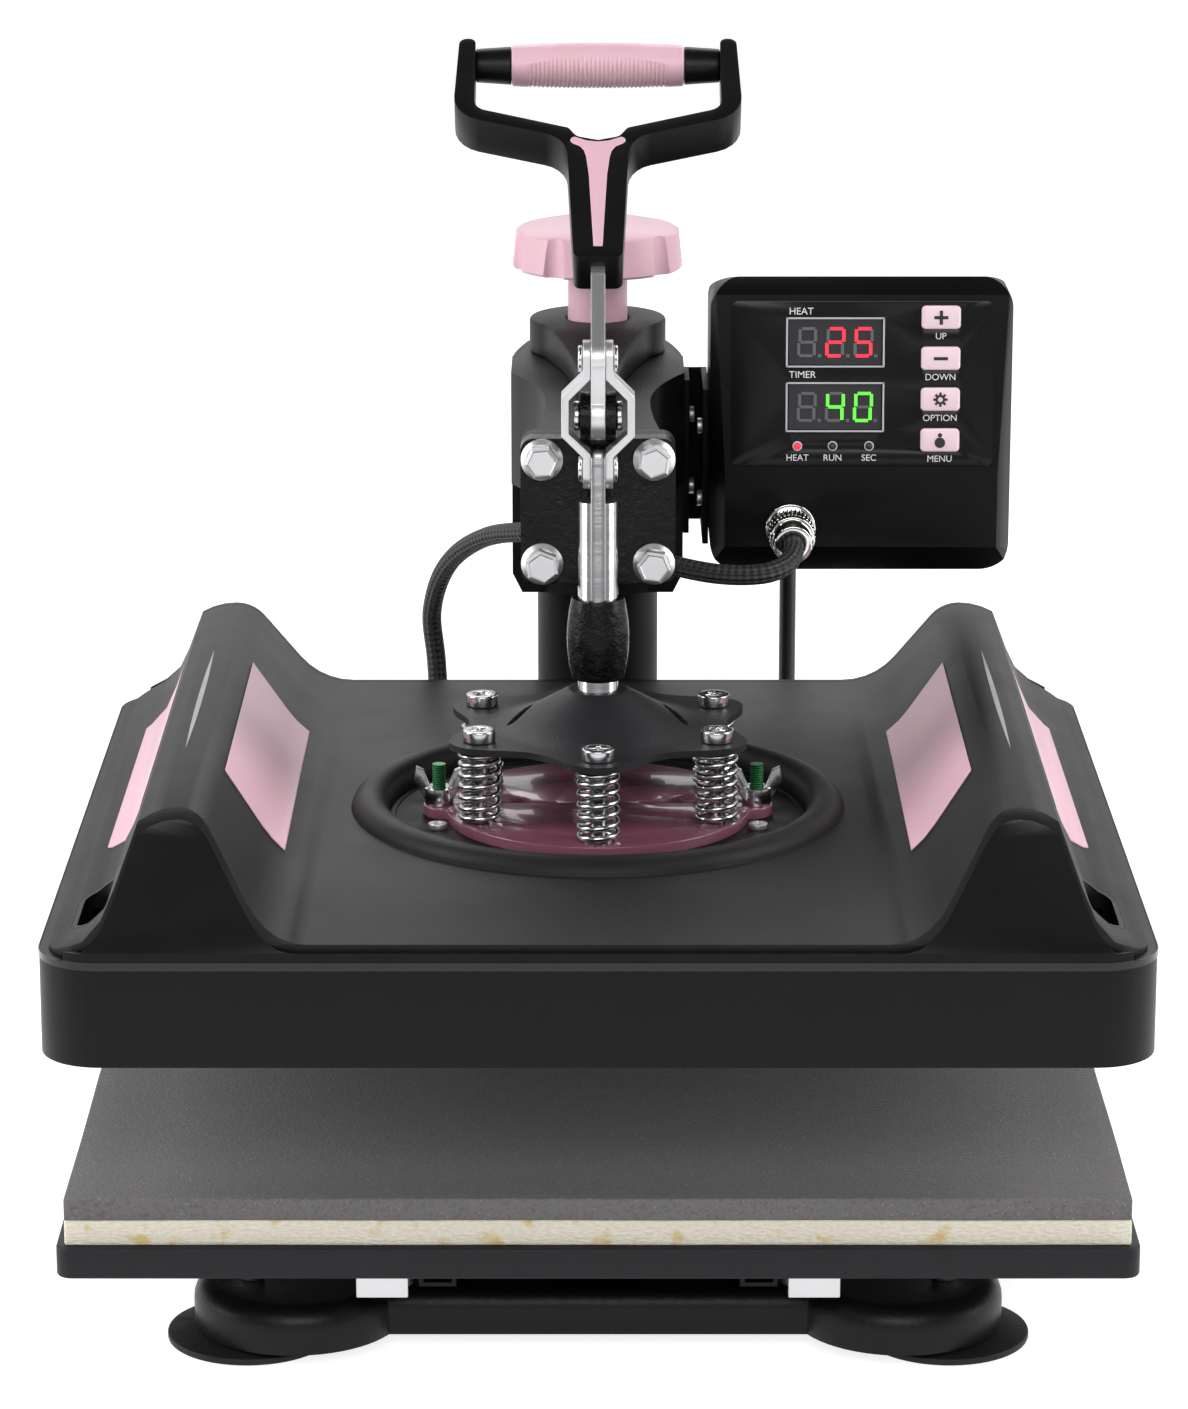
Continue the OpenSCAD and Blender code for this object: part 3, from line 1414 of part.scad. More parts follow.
module heating_element() {
    color("#6d6e70") at_ram() translate([0, 0, platen_top + element_r + seat_gap]) {
        for (s = [-1, 1]) translate([loop_x[0], s * loop_r, 0]) rotate([0, 90, 0])
            cylinder(r = element_r, h = loop_x[1] - loop_x[0]);
        translate([loop_x[1], 0, 0]) rotate(-90)
            rotate_extrude(angle = 180) translate([loop_r, 0]) circle(element_r);
    }
}

dish_post_r = 6;
dish_post_at = [50, 40];
dish_r = ring_r - ring_half + 1.2;
dish_rim = 3.5;

module at_dish_posts() {
    for (x = [-1, 1], y = [-1, 1]) translate([x * dish_post_at.x, y * dish_post_at.y, 0]) children();
}

insulation_set = 46;

module insulation() {
    low = platen_top + 2 * (element_r + seat_gap);
    color("#d9d5c8") at_ram() difference() {
        translate([0, 0, low])
            slab(platen_w - insulation_set, platen_d - insulation_set, dish_z - 4.5 - low, 8);
        at_dish_posts() translate([0, 0, platen_top]) cylinder(r = dish_post_r + free_gap, h = head_h);
    }
}

dish_screw = [60, 19.5];
dish_screw_r = 1.75;

module at_dish_screws() {
    for (x = [-1, 1], y = [-1, 1]) translate([x * dish_screw.x, y * dish_screw.y, 0]) children();
}

module centre_dish() {
    color("#242426") difference() {
        at_ram() union() {
            translate([0, 0, dish_z]) cylinder(r = dish_r, h = dish_t);
            translate([0, 0, dish_z]) tube(dish_r, dish_r - dish_rim, sheet_z - dish_z);
            at_dish_posts() translate([0, 0, platen_top])
                cylinder(r = dish_post_r, h = dish_z - platen_top);
        }
        at_ram() at_dish_screws() cylinder(r = dish_screw_r + press_gap, h = 2 * trough_z);
        at_studs() cylinder(r = stud_r + press_gap, h = 2 * trough_z);
    }
}

module head_screws() {
    color("#b7b9bc") {
        at_ram() at_dish_screws() translate([0, 0, dish_z + dish_t]) pan_screw(3.5, 2, dish_screw_r, dish_t);
        at_cover() at_wells() translate([0, 0, well_floor]) pan_screw(4.4, 2.6, well_screw_r, 5);
    }
}

head_gland_r = 6.5;

module cable_gland() {
    inside = skirt_wall + 4;
    outside = 8;
    color("#1b1b1c") at_ram() translate([head_gland.x, cover_back, head_gland.y]) rotate([-90, 0, 0])
        difference() {
            union() {
                translate([0, 0, -inside]) cylinder(r = head_gland_r, h = inside + outside);
                cylinder(r = head_gland_r + 2.5, h = 2.5);
            }
            translate([0, 0, -inside - cut])
                cylinder(r = braid_d / 2 + free_gap, h = inside + outside + 2 * cut);
        }
}

base_frame();
suction_feet();
base_fasteners();
post();
post_nut();
tray_rails();
platen_tray();
felt_pad();
silicone_mat();
tray_clips();
mains_cord();
mains_coil();
mains_plug();
swing_bush();
swing_arm();
arm_hood();
toggle_body();
flange_bolts();
pivot_pin();
controller_bracket();
controller_screws();
case_front();
case_back();
display_overlay();
led_lights();
circuit_board();
connector_socket();
connector_plug();
cord_gland();
head_cable();
pressure_knob();
lead_screw();
lever_plate();
handle_frame();
handle_inlay();
grip_rod();
grip_sleeve();
toggle_links();
link_rivets();
ram_rod();
spider_plate();
adapter_plate();
spring_screws();
springs();
wing_studs();
cover_top();
cover_skirt();
cover_inlays();
heating_platen();
heating_element();
insulation();
centre_dish();
head_screws();
cable_gland();
wing_nut_left();
wing_nut_right();
button_plus();
button_minus();
button_setup();
button_mode();
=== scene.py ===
"""Looks of the swing-away combo heat press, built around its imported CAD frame."""

from __future__ import annotations

import json
import logging
import math
from dataclasses import dataclass, field
from enum import Enum
from typing import Sequence

import bmesh
import bpy
from mathutils import Matrix, Vector

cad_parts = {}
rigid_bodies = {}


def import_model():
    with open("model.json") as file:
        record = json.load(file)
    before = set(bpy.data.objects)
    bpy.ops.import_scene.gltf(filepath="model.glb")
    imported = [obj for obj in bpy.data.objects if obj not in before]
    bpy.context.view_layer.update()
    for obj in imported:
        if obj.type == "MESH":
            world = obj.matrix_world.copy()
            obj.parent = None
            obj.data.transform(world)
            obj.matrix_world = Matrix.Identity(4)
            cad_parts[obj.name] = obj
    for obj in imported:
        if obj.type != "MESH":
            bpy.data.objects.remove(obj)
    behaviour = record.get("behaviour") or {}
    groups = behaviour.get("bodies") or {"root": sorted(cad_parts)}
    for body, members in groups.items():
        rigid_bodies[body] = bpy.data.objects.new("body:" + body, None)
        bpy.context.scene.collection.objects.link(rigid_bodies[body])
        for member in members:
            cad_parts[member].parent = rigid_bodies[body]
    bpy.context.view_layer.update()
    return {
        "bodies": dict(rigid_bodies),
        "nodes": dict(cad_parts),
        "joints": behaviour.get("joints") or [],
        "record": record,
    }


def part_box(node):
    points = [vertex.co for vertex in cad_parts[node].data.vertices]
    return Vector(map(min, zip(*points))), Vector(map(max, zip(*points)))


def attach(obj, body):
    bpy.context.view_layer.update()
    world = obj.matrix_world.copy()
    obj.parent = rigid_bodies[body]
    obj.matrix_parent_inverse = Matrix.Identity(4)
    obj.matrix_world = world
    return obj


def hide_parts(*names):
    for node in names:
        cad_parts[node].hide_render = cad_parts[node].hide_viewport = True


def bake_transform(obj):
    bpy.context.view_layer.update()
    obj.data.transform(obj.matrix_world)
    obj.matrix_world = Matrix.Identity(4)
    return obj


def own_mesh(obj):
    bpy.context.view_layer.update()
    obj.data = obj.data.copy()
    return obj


LOG = logging.getLogger("heat_press")
MM = 0.001
RAM_Y = -38.5
Colour = tuple[float, float, float]
Point = tuple[float, float, float]
Mesh = bmesh.types.BMesh
Piece = bpy.types.Object
WELD = 2e-6  # metres between points of a CAD mesh that are one point
FLAT = 0.6  # degrees between faces of a CAD mesh that are one face
CLOUDS = 38.0  # clouds per metre in a plain finish
MIDDLE = (0.3, 0.7)  # the range of a noise that is stretched


def metres(x: float, y: float, z: float) -> Vector:
    """Turn a place measured from the ram in millimetres into the frame's metres."""
    return Vector((x, y + RAM_Y, z)) * MM


def moved(x: float, y: float, z: float) -> Matrix:
    """A shift in millimetres."""
    return Matrix.Translation(Vector((x, y, z)) * MM)


def spun(degrees: float, axis: str) -> Matrix:
    """A turn around an axis."""
    return Matrix.Rotation(math.radians(degrees), 4, axis)


def within(*values: float) -> float:
    """The least of some values, kept between nought and one."""
    return max(0.0, min(1.0, *values))


def linear(red: int, green: int, blue: int) -> Colour:
    """Turn a display colour of 0 to 255 into linear light.

    Args:
        red: Red of the display colour.
        green: Green of the display colour.
        blue: Blue of the display colour.

    Returns:
        The colour in linear light.
    """
    return tuple(((c / 255 + 0.055) / 1.055) ** 2.4 for c in (red, green, blue))


def shade(colour: Colour, share: float) -> Colour:
    """A lighter or darker tone of a colour."""
    return tuple(min(1.0, c * share) for c in colour)


def grey(level: float) -> Colour:
    """A grey of one level."""
    return (level, level, level)


class Wire:
    """An output socket of a shader that takes part in arithmetic."""

    def __init__(self, graph: Tree, socket: bpy.types.NodeSocket) -> None:
        """Keep the graph and the socket."""
        self.graph = graph
        self.socket = socket

    def _math(self, operation: str, first: Wire | float, second: Wire | float) -> Wire:
        """Add one Math node."""
        return self.graph.node("ShaderNodeMath", {"operation": operation}, {0: first, 1: second})

    def __add__(self, other: Wire | float) -> Wire:
        """Add."""
        return self._math("ADD", self, other)

    __radd__ = __add__

    def __sub__(self, other: Wire | float) -> Wire:
        """Subtract."""
        return self._math("SUBTRACT", self, other)

    def __rsub__(self, other: Wire | float) -> Wire:
        """Subtract from a number."""
        return self._math("SUBTRACT", other, self)

    def __mul__(self, other: Wire | float) -> Wire:
        """Multiply."""
        return self._math("MULTIPLY", self, other)

    __rmul__ = __mul__

    def above(self, level: float) -> Wire:
        """One where the value is over a level, else nought."""
        return self._math("GREATER_THAN", self, level)

    def sine(self) -> Wire:
        """Sine of the value."""
        return self._math("SINE", self, 0.0)

    def clamp(self) -> Wire:
        """Keep the value between nought and one."""
        return self._math("MINIMUM", self._math("MAXIMUM", self, 0.0), 1.0)


class Tree:
    """A node tree that expressions add their nodes to."""

    def __init__(self, tree: bpy.types.NodeTree) -> None:
        """Start from an empty tree."""
        self.tree = tree
        tree.nodes.clear()

    def feed(self, socket: bpy.types.NodeSocket, value: object) -> None:
        """Link a wire to a socket, or set its value.

        Args:
            socket: The input to feed.
            value: A wire, a number, a colour or a vector.
        """
        if isinstance(value, Wire):
            self.tree.links.new(value.socket, socket)
        elif isinstance(value, tuple) and len(value) == 3 and len(socket.default_value) == 4:
            socket.default_value = (*value, 1.0)
        else:
            socket.default_value = value

    def node(self, kind: str, settings: dict, inputs: dict, output: int | str = 0) -> Wire:
        """Add a node.

        Args:
            kind: The type of the node.
            settings: Properties that are set before the sockets.
            inputs: Values or wires by socket.
            output: The output that is given back.

        Returns:
            The output of the node.
        """
        made = self.tree.nodes.new(kind)
        for key, value in settings.items():
            setattr(made, key, value)
        for key, value in inputs.items():
            self.feed(made.inputs[key], value)
        return Wire(self, made.outputs[output])

    def close(self, kind: str, result: Wire) -> None:
        """Add the output node and feed it."""
        self.feed(self.tree.nodes.new(kind).inputs[0], result)

    def axis(self, place: Wire, index: int) -> Wire:
        """One of the three numbers of a place."""
        return self.node("ShaderNodeSeparateXYZ", {}, {0: place}, index)

    def ray(self, kind: str) -> Wire:
        """One for rays of a kind, such as Camera, else nought."""
        return self.node("ShaderNodeLightPath", {}, {}, f"Is {kind} Ray")

    def ramp(self, value: Wire, low: float, high: float) -> Wire:
        """Stretch a value so that low becomes nought and high becomes one."""
        return self.node("ShaderNodeMapRange", {}, {"Value": value, "From Min": low, "From Max": high})

    def mix(self, factor: Wire, first: Colour | Wire, second: Colour | Wire) -> Wire:
        """Mix two colours.

        Args:
            factor: Share of the second colour.
            first: Colour at nought.
            second: Colour at one.

        Returns:
            The mixed colour.
        """
        return self.node("ShaderNodeMix", {"data_type": "RGBA"}, {0: factor, 6: first, 7: second}, 2)


class Graph(Tree):
    """The node tree of one material, with its surface shader."""

    def __init__(self, name: str) -> None:
        """Start a material with a principled surface."""
        self.material = bpy.data.materials.new(name)
        self.material.use_nodes = True
        super().__init__(self.material.node_tree)
        self.surface = self.tree.nodes.new("ShaderNodeBsdfPrincipled")
        self.close("ShaderNodeOutputMaterial", Wire(self, self.surface.outputs[0]))

    def place(self, scale: Point = (1.0, 1.0, 1.0)) -> Wire:
        """Object coordinates, stretched by a scale."""
        raw = self.node("ShaderNodeTexCoord", {}, {}, "Object")
        return self.node("ShaderNodeMapping", {}, {"Vector": raw, "Scale": scale})

    def noise(self, scale: float, detail: float = 2.0, place: Wire | None = None) -> Wire:
        """Cloudy noise.

        Args:
            scale: Clouds per metre.
            detail: Octaves of the noise.
            place: Coordinates, or the object's own.

        Returns:
            The value of the noise.
        """
        where = place or self.place()
        return self.node("ShaderNodeTexNoise", {}, {"Vector": where, "Scale": scale, "Detail": detail})

    def specks(self, scale: float) -> Wire:
        """Distance to the nearest of many scattered points."""
        return self.node("ShaderNodeTexVoronoi", {}, {"Vector": self.place(), "Scale": scale})

    def attribute(self, name: str) -> Wire:
        """A value that the mesh carries on its points."""
        return self.node("ShaderNodeAttribute", {"attribute_name": name}, {}, "Fac")

    def bump(self, height: Wire, depth: float, strength: float = 1.0) -> None:
        """Raise the surface by a height in metres."""
        normal = self.node("ShaderNodeBump", {}, {"Height": height, "Distance": depth, "Strength": strength})
        self.feed(self.surface.inputs["Normal"], normal)

    def set(self, **values: object) -> None:
        """Set inputs of the surface, with underscores for the spaces of their names."""
        for key, value in values.items():
            self.feed(self.surface.inputs[key.replace("_", " ")], value)


@dataclass(frozen=True)
class Finish:
    """A plain finish with a little cloudiness."""

    name: str
    colour: Colour
    rough: float = 0.4
    metal: float = 0.0
    coat: float = 0.0
    grain: float = 0.0
    grain_size: float = 900.0
    cloud: float = 0.12
    shine: float = 0.5

    def paint(self, graph: Graph) -> None:
        """Set colour, roughness and grain."""
        cloud = graph.noise(CLOUDS, 4.0)
        fine = graph.noise(self.grain_size, 3.0)
        tones = shade(self.colour, 1 - self.cloud), shade(self.colour, 1 + self.cloud)
        graph.set(Base_Color=graph.mix(graph.ramp(cloud, *MIDDLE), *tones))
        graph.set(Roughness=(self.rough * 0.82 + 0.3 * self.rough * cloud + 0.08 * fine).clamp())
        graph.set(Metallic=self.metal, Coat_Weight=self.coat, Specular_IOR_Level=self.shine)
        if self.grain:
            graph.bump(fine, self.grain)

    def material(self) -> bpy.types.Material:
        """Make the material once and give it back."""
        found = bpy.data.materials.get(self.name)
        if found:
            return found
        graph = Graph(self.name)
        self.paint(graph)
        return graph.material


@dataclass(frozen=True)
class BrushedFinish(Finish):
    """Plated steel with fine streaks and a hint of the plating's warmth."""

    tint: Colour = (0.62, 0.56, 0.42)
    streak: Point = (60.0, 60.0, 900.0)

    def paint(self, graph: Graph) -> None:
        """Add streaks to roughness and a warm blush to the colour."""
        streaks = graph.noise(1.0, 3.0, graph.place(self.streak))
        blush = graph.ramp(graph.noise(55.0, 3.0), 0.45, 0.75)
        graph.set(Base_Color=graph.mix(0.35 * blush, self.colour, self.tint))
        graph.set(Roughness=(self.rough + 0.22 * (streaks - 0.5)).clamp(), Metallic=self.metal)
        graph.bump(streaks, 0.00003, 0.5)


@dataclass(frozen=True)
class CastFinish(Finish):
    """Rough black casting, shiny with thick paint."""

    def paint(self, graph: Graph) -> None:
        """Add lumps and pits of the casting."""
        super().paint(graph)
        lumps = graph.noise(330.0, 3.0) + 0.4 * graph.noise(1100.0, 2.0)
        graph.bump(lumps, 0.0009, 0.9)


@dataclass(frozen=True)
class FoamFinish(Finish):
    """Sheet foam with pores and pale specks."""

    speck: Colour = (0.5, 0.5, 0.5)
    speck_size: float = 700.0

    def paint(self, graph: Graph) -> None:
        """Scatter specks and pores, with painted shade in the pores."""
        specks = 1 - graph.ramp(graph.specks(self.speck_size), 0.12, 0.3)
        pores = graph.noise(900.0, 3.0)
        cloud = graph.noise(14.0, 3.0)
        body = graph.mix(graph.ramp(cloud, *MIDDLE), shade(self.colour, 0.92), self.colour)
        flecked = graph.mix(0.4 * specks * graph.noise(160.0).above(0.5), body, self.speck)
        # Painted shade: the colour darkens in the pores.
        painted_pore_shade = 0.6 * graph.ramp(pores, 0.5, 0.7)
        graph.set(Base_Color=graph.mix(painted_pore_shade, flecked, shade(self.colour, 0.45)))
        graph.set(Roughness=self.rough)
        graph.bump(pores + 0.5 * specks, 0.00035, 0.8)


@dataclass(frozen=True)
class FeltFinish(Finish):
    """Pressed wool with loose fibres and yellow flecks."""

    fleck: Colour = (0.72, 0.5, 0.12)

    def paint(self, graph: Graph) -> None:
        """Lay fibres and flecks."""
        fibres = graph.noise(420.0, 6.0, graph.place((1.0, 1.0, 2.4)))
        flecks = graph.ramp(graph.noise(95.0, 4.0), 0.585, 0.68)
        body = graph.mix(graph.ramp(fibres, 0.35, 0.65), shade(self.colour, 0.86), self.colour)
        graph.set(Base_Color=graph.mix(0.75 * flecks, body, self.fleck), Roughness=self.rough)
        graph.set(Sheen_Weight=0.3)
        graph.bump(fibres, 0.0009, 0.9)


@dataclass(frozen=True)
class BraidFinish(Finish):
    """Woven sleeve that follows the lead it covers."""

    pitch: float = 0.0055

    def paint(self, graph: Graph) -> None:
        """Weave two sets of strands around the lead, with painted shade where the strands sink."""
        run = graph.attribute("run")
        turn = graph.attribute("turn")
        turns = 2 * math.pi / self.pitch
        strands = (turns * run + 6 * turn).sine() * (turns * run - 6 * turn).sine()
        fine = graph.noise(1400.0, 2.0)
        # Painted shade: the colour darkens where the strands sink between their crossings.
        painted_weave_shade = graph.ramp(strands, -0.6, 0.8)
        graph.set(Base_Color=graph.mix(painted_weave_shade, shade(self.colour, 0.5), self.colour))
        graph.set(Roughness=(self.rough + 0.2 * (fine - 0.5)).clamp())
        graph.bump(strands + 0.3 * fine, 0.0005, 0.9)


@dataclass(frozen=True)
class ThreadFinish(Finish):
    """Plated rod with a screw thread around upright axes."""

    pitch: float = 0.001

    def paint(self, graph: Graph) -> None:
        """Cut the thread into the surface, with painted shade in its grooves."""
        thread = (2 * math.pi / self.pitch * graph.axis(graph.place(), 2)).sine()
        # Painted shade: the colour darkens towards the bottom of each groove of the thread.
        painted_groove_shade = graph.ramp(thread, -1.0, 1.0)
        graph.set(Base_Color=graph.mix(painted_groove_shade, shade(self.colour, 0.35), self.colour))
        graph.set(Roughness=self.rough, Metallic=self.metal)
        graph.bump(thread, 0.0003, 1.0)


@dataclass(frozen=True)
class LitFinish(Finish):
    """A surface that glows."""

    glow: float = 1.0

    def paint(self, graph: Graph) -> None:
        """Set the glow."""
        super().paint(graph)
        graph.set(Emission_Color=self.colour, Emission_Strength=self.glow)


class Look(Enum):
    """The finishes of the press."""

    COVER = Finish("cover_black", linear(30, 30, 31), 0.45, grain=0.00012, grain_size=1500.0, shine=0.17)
    SKIRT = Finish("skirt_black", linear(18, 18, 20), 0.36, grain=0.00008, grain_size=1500.0, shine=0.14)
    LIP = Finish("lip_gloss", linear(8, 8, 9), 0.16, coat=0.2, shine=0.3)
    ARM = Finish("arm_black", linear(28, 28, 31), 0.46, grain=0.0002, grain_size=900.0, shine=0.15)
    CASE = Finish("case_black", linear(11, 11, 13), 0.34, grain=0.00008, grain_size=1600.0, shine=0.12)
    HANDLE = Finish("handle_black", linear(13, 13, 15), 0.36, grain=0.00006, grain_size=1400.0, shine=0.2)
    BASE = Finish("base_black", linear(13, 13, 14), 0.36, grain=0.00015, grain_size=600.0, shine=0.2)
    TRAY = Finish("tray_black", linear(34, 34, 37), 0.45, grain=0.0001, grain_size=1200.0, shine=0.2)
    POST = Finish("post_black", linear(18, 18, 20), 0.48, grain=0.0001, grain_size=900.0, shine=0.1)
    SPIDER = Finish("spider_black", linear(31, 31, 34), 0.44, grain=0.0002, grain_size=1000.0, shine=0.26)
    CAST = CastFinish("toggle_cast", linear(8, 8, 9), 0.22, coat=0.08, shine=0.14)
    PINK = Finish("pink_plastic", linear(226, 180, 195), 0.34, cloud=0.03, grain=0.00004, grain_size=1300.0)
    PINK_METAL = Finish("adapter_pink", linear(126, 76, 94), 0.2, coat=0.6, cloud=0.06)
    PALE = Finish("button_pink", linear(244, 216, 224), 0.45, cloud=0.02)
    ZINC = BrushedFinish("zinc_steel", linear(176, 176, 178), 0.32, metal=1.0)
    BRIGHT = BrushedFinish("bright_steel", linear(198, 199, 201), 0.2, metal=1.0, tint=linear(190, 188, 182))
    NICKEL = BrushedFinish("nickel", linear(205, 200, 190), 0.22, metal=1.0, tint=linear(214, 200, 170))
    GREEN = ThreadFinish("green_stud", linear(60, 150, 88), 0.35, metal=0.7, pitch=0.0009)
    THREAD = ThreadFinish("threaded_steel", linear(180, 180, 182), 0.35, metal=1.0, pitch=0.001)
    MAT = FoamFinish("silicone_foam", linear(117, 115, 115), 0.85,
                     speck=linear(170, 168, 168), speck_size=560.0)
    FELT = FeltFinish("felt_cream", linear(246, 240, 222), 0.95)
    RUBBER = Finish("rubber_black", linear(24, 24, 25), 0.55, grain=0.00015, grain_size=800.0, shine=0.3)
    CORD = Finish("lead_black", linear(24, 24, 25), 0.45, grain=0.00005, grain_size=1500.0)
    BRAID = BraidFinish("braid_black", linear(48, 48, 50), 0.6)
    PANEL = Finish("panel_gloss", linear(13, 13, 14), 0.2, cloud=0.05, shine=0.2)
    WINDOW = Finish("display_window", linear(40, 40, 44), 0.2, cloud=0.05)
    UNLIT = Finish("segment_unlit", linear(92, 92, 98), 0.4, cloud=0.02)
    RED = LitFinish("segment_red", linear(255, 40, 60), 0.4, cloud=0.02, glow=1.1)
    LIME = LitFinish("segment_green", linear(90, 240, 60), 0.4, cloud=0.02, glow=0.9)
    MARK = Finish("mark_black", linear(20, 20, 22), 0.5, cloud=0.02)
    PRINT = Finish("print_white", linear(225, 225, 228), 0.5, cloud=0.02)
    FRAME = Finish("window_frame", linear(188, 188, 192), 0.4, cloud=0.03)
    BRASS = BrushedFinish("brass_nut", linear(196, 160, 92), 0.3, metal=1.0)
    ALLOY = BrushedFinish("platen_alloy", linear(178, 178, 180), 0.35, metal=1.0, streak=(500.0, 40.0, 40.0))
    BOARD = Finish("board_green", linear(30, 96, 58), 0.4)
    WOOL = FeltFinish("mineral_wool", linear(200, 192, 170), 0.95)
    # Painted highlight: pale grey for the light seen in the slits of the humps.
    SLIT_HIGHLIGHT = Finish("slit_painted_highlight", linear(150, 150, 150), 0.35, cloud=0.15)

    @property
    def material(self) -> bpy.types.Material:
        """The Blender material of this finish."""
        return self.value.material()


def soften(shape: Mesh, edges: list, width: float, steps: int) -> None:
    """Round edges over.

    Args:
        shape: The bmesh that they are in.
        edges: The edges.
        width: Width of the softened edges in millimetres.
        steps: Segments across a softened edge.
    """
    bmesh.ops.bevel(shape, geom=edges, offset=width * MM, offset_type="OFFSET", affect="EDGES",
                    segments=steps, profile=0.5, material=-1, clamp_overlap=True)


@dataclass
class Workshop:
    """Makes Blender pieces and fixes them to the CAD frame."""

    frame: dict

    def piece(self, name: str, shape: Mesh, look: Look, body: str | None, smooth: float = 35.0) -> Piece:
        """Turn a bmesh into a finished piece.

        Args:
            name: Name of the piece.
            shape: The mesh, which is used up.
            look: Its finish.
            body: The CAD body that carries it, or None for a piece that stays loose.
            smooth: Edges sharper than this many degrees stay crisp.

        Returns:
            The new object.
        """
        mesh = bpy.data.meshes.new(name)
        shape.normal_update()
        shape.to_mesh(mesh)
        shape.free()
        mesh.shade_smooth()
        mesh.set_sharp_from_angle(angle=math.radians(smooth))
        mesh.materials.append(look.material)
        obj = bpy.data.objects.new(name, mesh)
        bpy.context.scene.collection.objects.link(obj)
        if body:
            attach(obj, body)
        LOG.info("piece %s: %d faces", name, len(mesh.polygons))
        return obj

    def body_of(self, node: str) -> str:
        """The CAD body that carries a node."""
        bodies = self.frame["record"]["behaviour"]["bodies"]
        return next(body for body, nodes in bodies.items() if node in nodes)

    def paint(self, node: str, look: Look) -> None:
        """Give a CAD node its finish and leave its shape."""
        obj = self.frame["nodes"][node]
        obj.data.materials.clear()
        obj.data.materials.append(look.material)

    def copy_of(self, node: str) -> Mesh:
        """A merged copy of a CAD node's mesh."""
        shape = bmesh.new()
        shape.from_mesh(self.frame["nodes"][node].data)
        bmesh.ops.remove_doubles(shape, verts=shape.verts[:], dist=WELD)
        return shape

    def dress(self, node: str, look: Look, edge: float, steps: int = 2, crisp: float = 32.0) -> Piece:
        """Stand a copy with softened edges in for a CAD node.

        Args:
            node: The CAD node.
            look: Its finish.
            edge: Width of the softened edges in millimetres.
            steps: Segments across a softened edge.
            crisp: Edges sharper than this many degrees are softened.

        Returns:
            The piece that replaces the node.
        """
        shape = self.copy_of(node)
        bmesh.ops.dissolve_limit(shape, angle_limit=math.radians(FLAT), verts=shape.verts[:],
                                 edges=shape.edges[:])
        limit = math.radians(crisp)
        sharp = [e for e in shape.edges if e.is_manifold and e.calc_face_angle(0.0) > limit]
        soften(shape, sharp, edge, steps)
        bmesh.ops.triangulate(shape, faces=[f for f in shape.faces if len(f.verts) > 4])
        obj = self.piece(node + "_dressed", shape, look, self.body_of(node))
        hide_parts(node)
        return obj

    def dress_all(self, *rows: tuple) -> None:
        """Dress several CAD nodes, each with the values that dress takes."""
        for row in rows:
            self.dress(*row)


def turned(profile: Sequence[tuple[float, float]], steps: int, matrix: Matrix) -> Mesh:
    """Spin a profile around its own upright axis.

    Args:
        profile: Radius and height of its points, in millimetres.
        steps: Steps around.
        matrix: Where the result goes.

    Returns:
        The turned shape.
    """
    shape = bmesh.new()
    verts = [shape.verts.new((r * MM, 0.0, h * MM)) for r, h in profile]
    edges = [shape.edges.new(pair) for pair in zip(verts, verts[1:])]
    bmesh.ops.spin(shape, geom=verts + edges, cent=(0, 0, 0), axis=(0, 0, 1), dvec=(0, 0, 0),
                   angle=2 * math.pi, steps=steps, use_merge=True, use_normal_flip=False)
    bmesh.ops.remove_doubles(shape, verts=shape.verts[:], dist=1e-6)
    bmesh.ops.recalc_face_normals(shape, faces=shape.faces[:])
    bmesh.ops.transform(shape, matrix=matrix, verts=shape.verts[:])
    return shape


def block(size: Point, edge: float, matrix: Matrix, into: Mesh | None = None, steps: int = 2) -> Mesh:
    """Make a box with softened edges.

    Args:
        size: Its three sides in millimetres.
        edge: Width of the softened edges in millimetres.
        matrix: Where the middle of the box goes.
        into: A bmesh to add to, or None for a new one.
        steps: Segments across a softened edge.

    Returns:
        The bmesh with the box in it.
    """
    shape = into or bmesh.new()
    made = bmesh.ops.create_cube(shape, size=MM, matrix=matrix @ Matrix.Diagonal((*size, 1.0)))["verts"]
    soften(shape, list({e for v in made for e in v.link_edges}), edge, steps)
    return shape


def cone(shape: Mesh, sides: int, wide: float, narrow: float, depth: float, matrix: Matrix,
         caps: bool = True) -> list[bmesh.types.BMVert]:
    """Add a cone, or a disc where both ends are as wide.

    Args:
        shape: The bmesh to add to.
        sides: Sides around.
        wide: Radius of its foot in millimetres.
        narrow: Radius of its top in millimetres.
        depth: Its height in millimetres.
        matrix: Where its middle goes.
        caps: Whether its ends are closed.

    Returns:
        Its points.
    """
    return bmesh.ops.create_cone(shape, cap_ends=caps, segments=sides, radius1=wide * MM,
                                 radius2=narrow * MM, depth=depth * MM, matrix=matrix)["verts"]


def smooth_path(route: Sequence[Vector], step: float) -> list[Vector]:
    """Run one smooth curve through the points of a route.

    Args:
        route: Points that the curve goes through.
        step: Distance between the points that are given back, in metres.

    Returns:
        Close points along the curve.
    """
    dense: list[Vector] = []
    for i in range(len(route) - 1):
        a, b = route[i], route[i + 1]
        before = route[i - 1] if i else a + (a - b)
        after = route[i + 2] if i + 2 < len(route) else b + (b - a)
        span = (b - a).length
        out = (b - before).normalized() * span
        back = (after - a).normalized() * span
        count = max(2, round(span / step))
        for k in range(count):
            t = k / count
            dense.append((2 * t**3 - 3 * t**2 + 1) * a + (t**3 - 2 * t**2 + t) * out
                         + (3 * t**2 - 2 * t**3) * b + (t**3 - t**2) * back)
    dense.append(route[-1].copy())
    return dense


def path_length(path: Sequence[Vector]) -> float:
    """Length along a path in metres."""
    return sum((b - a).length for a, b in zip(path, path[1:]))


